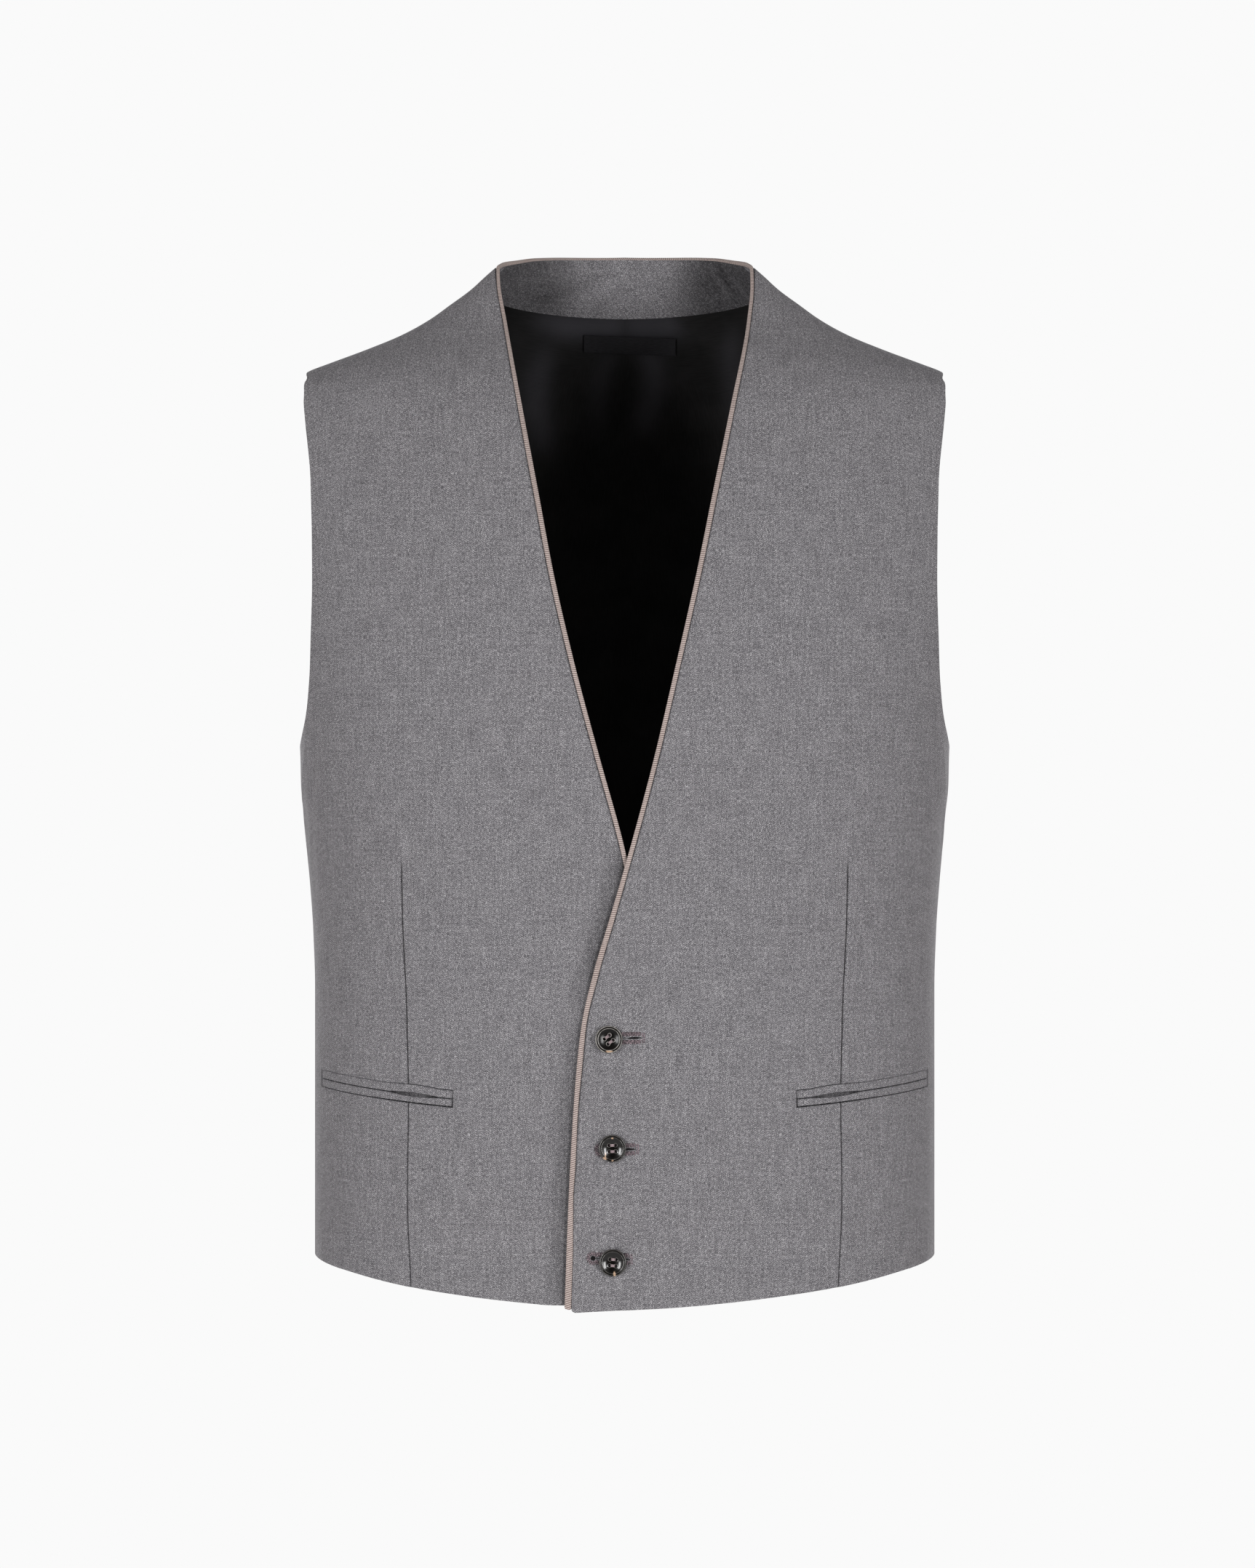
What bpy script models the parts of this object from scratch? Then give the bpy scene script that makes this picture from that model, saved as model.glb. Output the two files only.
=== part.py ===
"""Men's suit waistcoat with a deep V front, in the shape it has when worn.

Frame: +Z up, the garment faces -Y and +X is the wearer's left. The origin is the middle of the
neck opening, level with the neck points, where the wearer's shoulders carry the garment.

Every panel lies on one general figure. A place on the figure has two numbers: its level z in mm,
and its turn, which runs from -1 at the centre back through 0 at the side to 1 at the centre front.
The wearer's left side is worked out, and the right side is its mirror image.
All sizes below are in millimetres.
"""

import math

import bmesh
import bpy
import numpy as np
from mathutils import Matrix, Vector

MM = 0.001

# Cloth walls and the clearances between pieces.
SEAM_GAP = 0.3
FRONT_WALL = 1.8  # worsted cloth, canvas and its own facing
BACK_WALL = 1.2  # satin back
LINING_WALL = 1.0
BAND_WALL = BACK_WALL + SEAM_GAP + LINING_WALL
LAP_LIFT = 2.5  # how far the upper front rides over the lower one

# Ribbed ribbon along the front edges and the neck.
PIPING_WIDTH = 3.6
PIPING_PROUD = 0.25
PIPING_THICK = 2.2

# Seams.
SHOULDER_SEAM_BACK = 12.0  # the shoulder seam lies this far behind the shoulder line
SIDE_SEAM_BACK = 10.0  # the side seam lies this far behind the widest line
BAND_BASE_LEVEL = -19.8  # at the centre back
BAND_BASE_RISE = 15.0
CENTRE_BACK = -1.0  # the turn of the centre back

# Figure, one row for each level: half the width, the depth in front of the side line and behind
# it, and how square the front and back halves are (2 is an ellipse). Above -56 the half width
# is the shoulder line, and between -59 and -270 it runs past the armhole.
FIGURE_COLUMNS = ("level", "half_width", "front", "back", "front_square", "back_square")
FIGURE = (
    (16.0, 67.8, 10.0, 60.0, 2.00, 2.00),
    (10.2, 69.7, 13.0, 60.8, 2.00, 2.00),
    (7.0, 71.2, 15.0, 61.3, 2.00, 2.00),
    (4.5, 72.6, 17.0, 61.8, 2.00, 2.00),
    (2.4, 75.0, 18.4, 62.4, 2.00, 2.00),
    (-1.8, 79.8, 21.2, 63.6, 2.00, 2.00),
    (-10.2, 89.0, 27.0, 66.5, 2.00, 2.00),
    (-18.6, 100.4, 32.4, 69.8, 2.00, 2.00),
    (-27.0, 113.0, 37.7, 74.5, 2.00, 2.00),
    (-35.4, 128.7, 44.0, 80.0, 2.00, 2.00),
    (-43.8, 149.1, 51.5, 85.5, 2.00, 2.00),
    (-52.2, 171.6, 58.8, 90.2, 2.00, 2.00),
    (-56.3, 182.0, 62.0, 92.2, 2.00, 2.00),
    (-59.0, 186.5, 64.0, 93.2, 2.00, 2.00),
    (-61.8, 191.0, 66.0, 94.2, 2.00, 2.00),
    (-66.0, 198.0, 68.6, 95.6, 2.01, 2.01),
    (-80.0, 203.5, 76.5, 99.5, 2.03, 2.03),
    (-97.0, 205.0, 85.0, 104.0, 2.05, 2.05),
    (-125.0, 205.6, 95.5, 109.2, 2.10, 2.10),
    (-155.0, 203.0, 104.0, 112.6, 2.16, 2.16),
    (-185.0, 199.2, 110.5, 114.0, 2.22, 2.22),
    (-213.0, 195.0, 115.0, 113.6, 2.27, 2.26),
    (-238.0, 191.2, 117.5, 112.0, 2.31, 2.30),
    (-258.0, 188.4, 118.5, 110.2, 2.34, 2.33),
    (-279.0, 186.8, 119.0, 108.0, 2.37, 2.35),
    (-296.0, 186.4, 119.0, 106.0, 2.39, 2.36),
    (-313.0, 184.6, 118.9, 104.0, 2.40, 2.37),
    (-346.0, 181.7, 118.4, 100.2, 2.42, 2.38),
    (-380.0, 179.3, 116.6, 96.8, 2.44, 2.39),
    (-413.0, 178.3, 114.6, 94.4, 2.46, 2.40),
    (-450.0, 178.3, 112.6, 93.4, 2.48, 2.40),
    (-500.0, 178.3, 112.2, 95.6, 2.50, 2.42),
    (-560.0, 178.3, 113.2, 101.0, 2.50, 2.44),
    (-600.0, 178.3, 114.2, 104.0, 2.50, 2.45),
)

# Free edges of the two fronts: distance from the centre line towards the front's own side. A
# negative one is past the centre, where the fronts lap.
FRONT_EDGE_COLUMNS = ("level", "left_front", "right_front")
FRONT_EDGE = (
    (-588.5, -33.4, -26.0),
    (-520.0, -30.8, -25.0),
    (-460.0, -27.2, -23.0),
    (-430.0, -24.0, -20.0),
    (-400.0, -17.3, -15.0),
    (-370.0, -8.4, -8.5),
    (-330.0, 3.2, 0.2),
    (-280.0, 16.5, 14.0),
    (-230.0, 28.2, 27.4),
    (-180.0, 39.5, 39.1),
    (-130.0, 49.7, 48.6),
    (-83.0, 59.5, 57.6),
    (-30.0, 70.0, 67.6),
    (-8.0, 72.4, 71.6),
    (4.5, 72.6, 72.6),
)

# Top of the neck band behind the shoulder line, from the side to the centre back.
NECK_TOP_COLUMNS = ("turn_back", "level")
NECK_TOP = (
    (0.0, 4.5),
    (0.10, 6.8),
    (0.29, 10.3),
    (0.45, 13.2),
    (0.65, 14.6),
    (1.0, 15.2),
)

# Hem, from the centre back round the side to the lapped centre front.
HEM_COLUMNS = ("turn", "level")
HEM = (
    (-1.0, -566.0),
    (-0.3, -565.2),
    (0.0, -564.8),
    (0.32, -569.2),
    (0.58, -576.5),
    (0.835, -583.5),
    (1.0, -587.4),
    (1.1, -588.5),
)
UNDER_LAP_RISE = 2.0  # the right front is this much shorter where the left one covers it

# Armhole seen from the side, as a front and a back half that run from the side seam up to the
# shoulder seam: distance behind the side line, and level.
ARMHOLE_COLUMNS = ("behind", "level")
ARMHOLE_FRONT = (
    (SIDE_SEAM_BACK, -275.5),
    (-8.0, -275.0),
    (-25.0, -270.0),
    (-40.0, -258.0),
    (-50.0, -238.0),
    (-55.0, -213.0),
    (-57.0, -185.0),
    (-55.0, -155.0),
    (-50.0, -125.0),
    (-41.0, -97.0),
    (-31.0, -76.0),
    (-22.0, -64.5),
    (-12.0, -59.0),
    (0.0, -56.4),
    (SHOULDER_SEAM_BACK, -58.0),
)
ARMHOLE_BACK = (
    (SIDE_SEAM_BACK, -275.5),
    (30.0, -270.0),
    (47.0, -256.0),
    (60.0, -235.0),
    (67.0, -205.0),
    (69.0, -170.0),
    (66.0, -135.0),
    (58.0, -100.0),
    (44.0, -76.0),
    (26.0, -63.0),
    (SHOULDER_SEAM_BACK, -58.0),
)

# Front dart, from its point down to the hem: distance from the centre line.
DART_COLUMNS = ("level", "across")
DART = (
    (-339.0, 124.9),
    (-376.0, 124.2),
    (-430.0, 121.9),
    (-475.0, 121.1),
    (-520.0, 121.7),
    (-590.0, 119.0),
)
DART_DEPTH = 0.9
DART_FADE = 26.0  # length over which the crease runs out above the dart's point
DART_HALF_WIDTH = 2.6

# Jetted pockets: the mouth runs from its inner end to its outer end on the front.
POCKET_INNER_ACROSS = 96.0
POCKET_INNER_LEVEL = -471.0
POCKET_OUTER_ACROSS = 171.4
POCKET_OUTER_LEVEL = -464.2
JET_WIDTH = 4.7
JET_THICK = 1.0
MOUTH_GAPE = 2.2  # how far the mouth stands open at its widest
MOUTH_CLOSED = 0.35
GAPE_CENTRE = 0.36  # share of the mouth's length from its inner end
GAPE_HALF_LENGTH = 0.28

# Buttons.
BUTTON_PLACES = (
    # across, level
    (-8.8, -437.0),
    (-6.8, -497.5),
    (-6.4, -560.9),
)
BUTTON_RADIUS = 7.65
BUTTON_PROFILE = (
    # radius, height above the cloth side
    (0.0, 0.0),
    (4.6, 0.0),
    (6.7, 0.75),
    (BUTTON_RADIUS, 1.7),
    (7.35, 2.6),
    (6.75, 2.8),
    (6.2, 2.35),
    (5.6, 2.45),
    (4.6, 1.65),
    (3.0, 1.35),
    (0.0, 1.35),
)
BUTTON_SEGMENTS = 22
BUTTON_HOLE_RADIUS = 0.8
BUTTON_HOLE_OFFSET = 1.35
BUTTON_SEAT = 0.4

# Label sewn to the lining under the neck band.
LABEL_WIDTH = 55.0
LABEL_HEIGHT = 9.4
LABEL_THICK = 0.6
LABEL_ACROSS = 3.0
LABEL_LEVEL = -34.0
LABEL_STAND = 0.6  # clearance from the lining, whose flat faces stand a little inside the figure
LABEL_DROP = 2.0  # how much lower the label's right end is than its left end

# How finely the panels are divided.
FRONT_LOWER_ROWS = 16
FRONT_UPPER_ROWS = 20
FRONT_INNER_COLUMNS = 7  # between the free edge and the dart
FRONT_OUTER_COLUMNS = 10  # between the dart and the side
ROW_BREAK_LEVEL = -286.0  # where the row that meets the foot of the armhole leaves the edge
TOP_GRADING = 1.35
BACK_LOWER_ROWS = 13
BACK_MIDDLE_ROWS = 11
BACK_NECK_ROWS = 12  # the same as half the band's columns, so that the two edges run alike
BACK_COLUMNS = 10
BACK_BREAK_LEVEL = -268.0  # where the row that meets the foot of the armhole leaves the centre
BAND_COLUMNS = 2 * BACK_NECK_ROWS
BAND_ROWS = 3

# Cloth colours as linear RGB, with roughness.
GREY_WORSTED = (0.205, 0.196, 0.206, 0.78)
BLACK_SATIN = (0.008, 0.008, 0.009, 0.38)
TAUPE_RIBBON = (0.37, 0.27, 0.235, 0.7)
DARK_HORN = (0.018, 0.016, 0.015, 0.18)


# ---------------------------------------------------------------- smooth tables and curves


def smooth_table(places, values):
    """A function through the table's points that never overshoots between them."""
    order = np.argsort(places)
    xs = np.array(places, float)[order]
    ys = np.array(values, float)[order]
    steps = np.diff(xs)
    slopes = np.diff(ys) / steps
    tangents = np.zeros_like(ys)
    tangents[0], tangents[-1] = slopes[0], slopes[-1]
    for i in range(1, len(xs) - 1):
        before, after = slopes[i - 1], slopes[i]
        if before * after > 0:
            heavy_before = 2 * steps[i] + steps[i - 1]
            heavy_after = steps[i] + 2 * steps[i - 1]
            total = heavy_before + heavy_after
            tangents[i] = total / (heavy_before / before + heavy_after / after)

    def value(x):
        x = min(max(x, xs[0]), xs[-1])
        i = min(max(int(np.searchsorted(xs, x)) - 1, 0), len(steps) - 1)
        s = (x - xs[i]) / steps[i]
        start = (1 + 2 * s) * (1 - s) ** 2 * ys[i] + s * (1 - s) ** 2 * steps[i] * tangents[i]
        end = s * s * (3 - 2 * s) * ys[i + 1] + s * s * (s - 1) * steps[i] * tangents[i + 1]
        return float(start + end)

    return value


def table_column(rows, columns, key, value):
    """smooth_table() of one named column of a table against another."""
    k, v = columns.index(key), columns.index(value)
    return smooth_table([row[k] for row in rows], [row[v] for row in rows])


def smoothstep(x):
    x = min(max(x, 0.0), 1.0)
    return x * x * (3 - 2 * x)


def rounded_path(points, pieces=8):
    """Points on a smooth curve through the given plane points."""
    pts = [np.array(p, float) for p in points]
    ends = [2 * pts[0] - pts[1]] + pts + [2 * pts[-1] - pts[-2]]
    path = [pts[0]]
    for before, here, there, after in zip(ends, ends[1:], ends[2:], ends[3:]):
        for k in range(1, pieces + 1):
            s = k / pieces
            pull = (there - before) * s + (2 * before - 5 * here + 4 * there - after) * s * s
            pull += (3 * here - before - 3 * there + after) * s**3
            path.append(here + pull / 2)
    return path


def even_points(path, count, place=None, grading=1.0):
    """count + 1 points at even distances along a path; place() turns one into 3-D for measuring.
    A grading above 1 brings the points closer together towards the path's end."""
    measured = [np.array(place(p) if place else p, float) for p in path]
    lengths = [0.0]
    for here, there in zip(measured, measured[1:]):
        lengths.append(lengths[-1] + float(np.linalg.norm(there - here)))
    coordinates = np.array([tuple(p) for p in path], float)
    wanted = lengths[-1] * (1 - np.linspace(1, 0, count + 1) ** grading)
    columns = [np.interp(wanted, lengths, column) for column in coordinates.T]
    return [tuple(p) for p in np.array(columns).T]


# ---------------------------------------------------------------- the figure

half_width = table_column(FIGURE, FIGURE_COLUMNS, "level", "half_width")
front_depth = table_column(FIGURE, FIGURE_COLUMNS, "level", "front")
back_depth = table_column(FIGURE, FIGURE_COLUMNS, "level", "back")
front_square = table_column(FIGURE, FIGURE_COLUMNS, "level", "front_square")
back_square = table_column(FIGURE, FIGURE_COLUMNS, "level", "back_square")
hem_level = table_column(HEM, HEM_COLUMNS, "turn", "level")
neck_top_level = table_column(NECK_TOP, NECK_TOP_COLUMNS, "turn_back", "level")
dart_across = table_column(DART, DART_COLUMNS, "level", "across")
EDGE_ACROSS = {
    "left_front": table_column(FRONT_EDGE, FRONT_EDGE_COLUMNS, "level", "left_front"),
    "right_front": table_column(FRONT_EDGE, FRONT_EDGE_COLUMNS, "level", "right_front"),
}
TOP_LEVEL = FIGURE[0][0]
BOTTOM_LEVEL = FIGURE[-1][0]
NECK_POINT_LEVEL = FRONT_EDGE[-1][0]


def depth_and_square(turn, level):
    if turn >= 0:
        return -front_depth(level), front_square(level)
    return back_depth(level), back_square(level)


def signed_power(value, power):
    return math.copysign(abs(value) ** power, value)


def surface(turn, level):
    """The figure's point (x, y, z) in mm at a turn and level, on the wearer's left side."""
    depth, square = depth_and_square(turn, level)
    angle = turn * math.pi / 2
    across = half_width(level) * signed_power(math.cos(angle), 2 / square)
    behind = depth * abs(math.sin(angle)) ** (2 / square)
    return np.array((across, behind, level))


def on_figure(place):
    return surface(*place)


def outward(turn, level, step=0.004):
    """The figure's unit normal, found from the surface a little way to each side."""
    level = min(max(level, BOTTOM_LEVEL + 1), TOP_LEVEL - 1)
    round_it = surface(turn + step, level) - surface(turn - step, level)
    up_it = surface(turn, level + 1) - surface(turn, level - 1)
    normal = np.cross(up_it, round_it)
    return normal / np.linalg.norm(normal)


def turn_at(across, behind, level):
    """The turn of a point on or near the figure."""
    front = behind < 0
    depth, square = depth_and_square(1 if front else -1, level)
    cosine = signed_power(across / half_width(level), square / 2)
    sine = abs(behind / depth) ** (square / 2)
    turn = math.atan2(sine, cosine) * 2 / math.pi
    return turn if front else -turn


def turn_behind(behind, level):
    """The turn where the figure's surface is this far behind the side line (negative: in front)."""
    depth, square = depth_and_square(1 if behind < 0 else -1, level)
    share = min(abs(behind / depth), 1.0)
    turn = math.asin(share ** (square / 2)) * 2 / math.pi
    return turn if behind < 0 else -turn


def front_turn(across, level):
    """The turn of a point on the front half that is this far from the centre line."""
    square = front_square(level)
    cosine = signed_power(across / half_width(level), square / 2)
    return math.acos(min(max(cosine, -1.0), 1.0)) * 2 / math.pi


def back_turn(across, level):
    cosine = (across / half_width(level)) ** (back_square(level) / 2)
    return -math.acos(min(cosine, 1.0)) * 2 / math.pi


def front_hem_level(front, turn):
    if front == "left_front":
        return hem_level(turn)
    covered = smoothstep((turn - 0.88) / 0.1)
    return hem_level(1 - abs(1 - turn)) + UNDER_LAP_RISE * covered


def lap_lift(turn, level):
    """How far the left front rides out over the right one near the closing."""
    across = surface(turn, level)[0]
    near_centre = smoothstep((92.0 - across) / 50.0)
    below_v = smoothstep((-268.0 - level) / 55.0)
    return LAP_LIFT * near_centre * below_v


# ---------------------------------------------------------------- panels


def solid_from_rows(name, rows, wall, colour, mirror=False, proud=None):
    """A closed cloth wall. rows is a grid of (turn, level) places, proud() its lift off the figure."""
    row_count, column_count = len(rows), len(rows[0])
    bm = bmesh.new()
    bmesh.ops.create_grid(bm, x_segments=column_count - 1, y_segments=row_count - 1, size=1)
    bm.verts.ensure_lookup_table()
    inward = {}
    tag = bm.verts.layers.int.new("place")
    for vert in bm.verts:
        column = round((vert.co.x + 1) / 2 * (column_count - 1))
        row = round((vert.co.y + 1) / 2 * (row_count - 1))
        turn, level = rows[row][column]
        normal = outward(turn, level)
        lift = proud(turn, level) if proud else 0.0
        point = surface(turn, level) + normal * lift
        vert.co = Vector(point)
        vert[tag] = len(inward)
        inward[vert[tag]] = Vector(normal * -wall)
    grown = bmesh.ops.extrude_face_region(bm, geom=bm.faces[:], use_keep_orig=True)
    for vert in grown["geom"]:
        if isinstance(vert, bmesh.types.BMVert):
            vert.co += inward[vert[tag]]
    return finish_piece(name, bm, colour, mirror)


def finish_piece(name, bm, colour, mirror=False):
    """Scales a mesh from mm to metres, turns its faces outwards and makes the named object."""
    if mirror:
        bmesh.ops.scale(bm, vec=(-1, 1, 1), verts=bm.verts)
    bmesh.ops.scale(bm, vec=(MM, MM, MM), verts=bm.verts)
    bmesh.ops.recalc_face_normals(bm, faces=bm.faces)
    mesh = bpy.data.meshes.new(name)
    bm.to_mesh(mesh)
    bm.free()
    mesh.materials.append(material(colour))
    mesh.shade_smooth()
    mesh.set_sharp_from_angle(angle=math.radians(40))
    piece = bpy.data.objects.new(name, mesh)
    bpy.context.scene.collection.objects.link(piece)
    return piece


def material(colour):
    name = "rgb_%03d_%03d_%03d" % tuple(round(c * 999) for c in colour[:3])
    if name in bpy.data.materials:
        return bpy.data.materials[name]
    made = bpy.data.materials.new(name)
    made.use_nodes = True
    shader = made.node_tree.nodes["Principled BSDF"]
    shader.inputs["Base Color"].default_value = (*colour[:3], 1.0)
    shader.inputs["Roughness"].default_value = colour[3]
    shader.inputs["Metallic"].default_value = 0.0
    return made


def patch(left, right, bottom, top, across_places):
    """Rows of (turn, level) inside four edges. left and right have one point for each row, bottom
    and top are functions of the share across, and across_places(row share) gives the shares."""
    rows = []
    count = len(left) - 1
    bottom_start, bottom_end = np.array(bottom(0.0)), np.array(bottom(1.0))
    top_start, top_end = np.array(top(0.0)), np.array(top(1.0))
    for i, (start, end) in enumerate(zip(left, right)):
        up = i / count

        def place(share, start=np.array(start), end=np.array(end), up=up):
            ruled = start * (1 - share) + end * share
            low = np.array(bottom(share)) - bottom_start * (1 - share) - bottom_end * share
            high = np.array(top(share)) - top_start * (1 - share) - top_end * share
            return ruled + low * (1 - up) + high * up

        rows.append([tuple(place(share)) for share in across_places(up, place)])
    return rows


def shoulder_seam(level, behind):
    return (turn_behind(behind, level), level)


def side_seam(level, behind):
    return (turn_behind(behind, level), level)


def armhole_edge(points, count, side_behind, shoulder_behind):
    """Places up the armhole, from the side seam to the shoulder seam."""
    path = rounded_path(points)
    on_cloth = lambda p: surface(turn_behind(p[0], p[1]), p[1])
    even = even_points(path, count, on_cloth, TOP_GRADING)
    even[0] = (side_behind, even[0][1])
    even[-1] = (shoulder_behind, even[-1][1])
    return [(turn_behind(behind, level), level) for behind, level in even]


# ---------------------------------------------------------------- front edge, neck and piping


def front_edge_path(front):
    """Places up a front's free edge, from the hem over the neck point to the shoulder seam."""
    edge = EDGE_ACROSS[front]
    hem_turn = front_turn(edge(FRONT_EDGE[0][0]), FRONT_EDGE[0][0])
    hem = front_hem_level(front, hem_turn)
    levels = list(np.linspace(hem, -40.0, 90)) + list(np.linspace(-38.0, 4.0, 22))
    path = [(front_turn(edge(level), level), level) for level in levels]
    seam_turn = turn_behind(SHOULDER_SEAM_BACK - SEAM_GAP / 2, neck_top_level(0.12))
    path += [(turn, neck_top_level(-turn)) for turn in np.linspace(0.0, seam_turn, 5)]
    return path


def front_edge_places(front):
    """One place on the free edge for each row of the front, closer together towards the neck."""
    path = front_edge_path(front)
    lower = [p for p in path if p[1] <= ROW_BREAK_LEVEL]
    upper = [p for p in path[len(lower) - 1 :]]
    places = even_points(lower, FRONT_LOWER_ROWS, on_figure)[:-1]
    return places + even_points(upper, FRONT_UPPER_ROWS, on_figure, TOP_GRADING)


def neck_edge_places():
    """Places along the top of the neck band, from the shoulder seam to the centre back."""
    seam_turn = turn_behind(SHOULDER_SEAM_BACK + SEAM_GAP / 2, neck_top_level(0.12))
    turns = np.linspace(seam_turn, CENTRE_BACK, 40)
    path = [(turn, neck_top_level(-turn)) for turn in turns]
    return even_points(path, BAND_COLUMNS // 2, on_figure)


def edge_frames(path, proud=None, inner_hint=(-0.02, -1.0)):
    """For each place on an edge: its point, the outward normal and the way into the cloth."""
    lifts = [proud(*place) if proud else 0.0 for place in path]
    points = [surface(*p) + outward(*p) * lift for p, lift in zip(path, lifts)]
    frames = []
    for i, (turn, level) in enumerate(path):
        before, after = points[max(i - 1, 0)], points[min(i + 1, len(points) - 1)]
        along = (after - before) / np.linalg.norm(after - before)
        normal = outward(turn, level)
        inner = np.cross(normal, along)
        inner /= np.linalg.norm(inner)
        hint = surface(turn + inner_hint[0], level + inner_hint[1]) - surface(turn, level)
        if np.dot(inner, hint) < 0:
            inner = -inner
        frames.append((points[i], normal, inner))
    return frames


def inset_path(path, distance, inner_hint=(-0.02, -1.0)):
    """Places a distance inside an edge, measured on the figure."""
    inset = []
    for point, _, inner in edge_frames(path, inner_hint=inner_hint):
        moved = point + inner * distance
        inset.append((turn_at(*moved), moved[2]))
    return inset


def piping(name, frames, mirror=False):
    """A ribbon folded over an edge, with a rounded free side."""
    top, low = PIPING_PROUD, PIPING_PROUD - PIPING_THICK
    outline = (
        # distance in from the free side, height over the cloth
        (0.0, top - 0.7),
        (0.7, top),
        (PIPING_WIDTH, top),
        (PIPING_WIDTH, low),
        (0.7, low),
        (0.0, low + 0.7),
    )
    return sweep(name, frames, outline, TAUPE_RIBBON, mirror)


def sweep(name, frames, outline, colour, mirror=False):
    """A closed bar with this outline, in (way into the cloth, outward), along the frames."""
    bm = bmesh.new()
    rings = []
    for point, normal, inner in frames:
        rings.append([bm.verts.new(Vector(point + inner * i + normal * n)) for i, n in outline])
    loops = []
    for ring in rings:
        loops.append([bm.edges.new(pair) for pair in zip(ring, ring[1:] + ring[:1])])
    for here, there in zip(loops, loops[1:]):
        bmesh.ops.bridge_loops(bm, edges=here + there)
    bm.faces.new(rings[0])
    bm.faces.new(rings[-1])
    return finish_piece(name, bm, colour, mirror)


# ---------------------------------------------------------------- the pieces

def dart_turn(level):
    return front_turn(dart_across(level), level)


def dart_press(turn, level):
    """Depth of the crease that the dart's seam draws in the cloth."""
    run_out = smoothstep(1 - (level - DART[0][0]) / DART_FADE)
    aside = abs(turn - dart_turn(level))
    near = smoothstep(1 - aside / 0.012)
    return DART_DEPTH * run_out * near


def front_rows(front):
    """Places of the front's grid, with one column on the dart."""
    left = inset_path(front_edge_places(front), PIPING_WIDTH + SEAM_GAP)
    left[0] = (left[0][0], front_hem_level(front, left[0][0]))
    seam = SHOULDER_SEAM_BACK - SEAM_GAP / 2
    side = SIDE_SEAM_BACK - SEAM_GAP / 2
    left[-1] = shoulder_seam(left[-1][1], seam)
    side_hem = (turn_behind(side, -565.0), hem_level(turn_behind(side, -565.0)))
    side_path = [side_seam(z, side) for z in np.linspace(side_hem[1], ARMHOLE_FRONT[0][1], 30)]
    right = even_points(side_path, FRONT_LOWER_ROWS, on_figure)[:-1]
    right += armhole_edge(ARMHOLE_FRONT, FRONT_UPPER_ROWS, side, seam)

    def bottom(share):
        turn = left[0][0] * (1 - share) + right[0][0] * share
        return (turn, front_hem_level(front, turn))

    def top(share):
        level = left[-1][1] * (1 - share) + right[-1][1] * share
        return shoulder_seam(level, seam)

    last_dart = [0.5]

    def shares(up, place_at):
        low, high = 0.1, 0.95
        if place_at(last_dart[0])[1] < DART[0][0] + DART_FADE:
            for _ in range(40):
                middle = (low + high) / 2
                turn, level = place_at(middle)
                if turn > dart_turn(level):
                    low = middle
                else:
                    high = middle
            last_dart[0] = (low + high) / 2
        dart, width = last_dart[0], DART_HALF_WIDTH / 320.0
        inner = [dart * k / FRONT_INNER_COLUMNS for k in range(FRONT_INNER_COLUMNS)]
        outer = [1 - (1 - dart) * k / FRONT_OUTER_COLUMNS for k in range(FRONT_OUTER_COLUMNS)]
        return inner + [dart - width, dart, dart + width] + outer[::-1]

    return patch(left, right, bottom, top, shares)


def front_panel(front):
    mirror = front == "right_front"

    def proud(turn, level):
        lift = 0.0 if mirror else lap_lift(turn, level)
        return lift - dart_press(turn, level)

    solid_from_rows(front, front_rows(front), FRONT_WALL, GREY_WORSTED, mirror, proud)


def band_base_level(turn):
    """Level of the seam that joins the neck band to the back, which rises towards the shoulders."""
    return BAND_BASE_LEVEL + BAND_BASE_RISE * (1 + turn) ** 2


def back_rows(lower_rows, middle_rows, neck_rows, columns):
    """Places of half the back, from the centre seam to the side seam and armhole."""
    half_gap = SEAM_GAP / 2
    seam = SHOULDER_SEAM_BACK + half_gap
    side = SIDE_SEAM_BACK + half_gap
    place = on_figure
    centre = lambda level: (back_turn(half_gap, level), level)
    base_top = BAND_BASE_LEVEL - half_gap
    left = even_points([centre(-566.0), centre(BACK_BREAK_LEVEL)], lower_rows, place)[:-1]
    left += even_points([centre(BACK_BREAK_LEVEL), centre(base_top)], middle_rows, place)[:-1]
    left = [centre(level) for _, level in left]
    seam_turn = turn_behind(seam, BAND_BASE_LEVEL + BAND_BASE_RISE * 0.75)
    neck = [(t, band_base_level(t) - half_gap) for t in np.linspace(-1.0, seam_turn, 30)]
    neck[0] = centre(neck[0][1])
    left += even_points(neck, neck_rows, place)
    left[-1] = shoulder_seam(left[-1][1], seam)
    side_hem = (turn_behind(side, -565.0), hem_level(turn_behind(side, -565.0)))
    side_path = [side_seam(z, side) for z in np.linspace(side_hem[1], ARMHOLE_BACK[0][1], 30)]
    right = even_points(side_path, lower_rows, place)[:-1]
    right += armhole_edge(ARMHOLE_BACK, middle_rows + neck_rows, side, seam)

    def bottom(share):
        turn = left[0][0] * (1 - share) + right[0][0] * share
        return (turn, hem_level(turn))

    def top(share):
        level = left[-1][1] * (1 - share) + right[-1][1] * share
        return shoulder_seam(level, seam)

    return patch(left, right, bottom, top, lambda up, at: np.linspace(0, 1, columns + 1))


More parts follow.
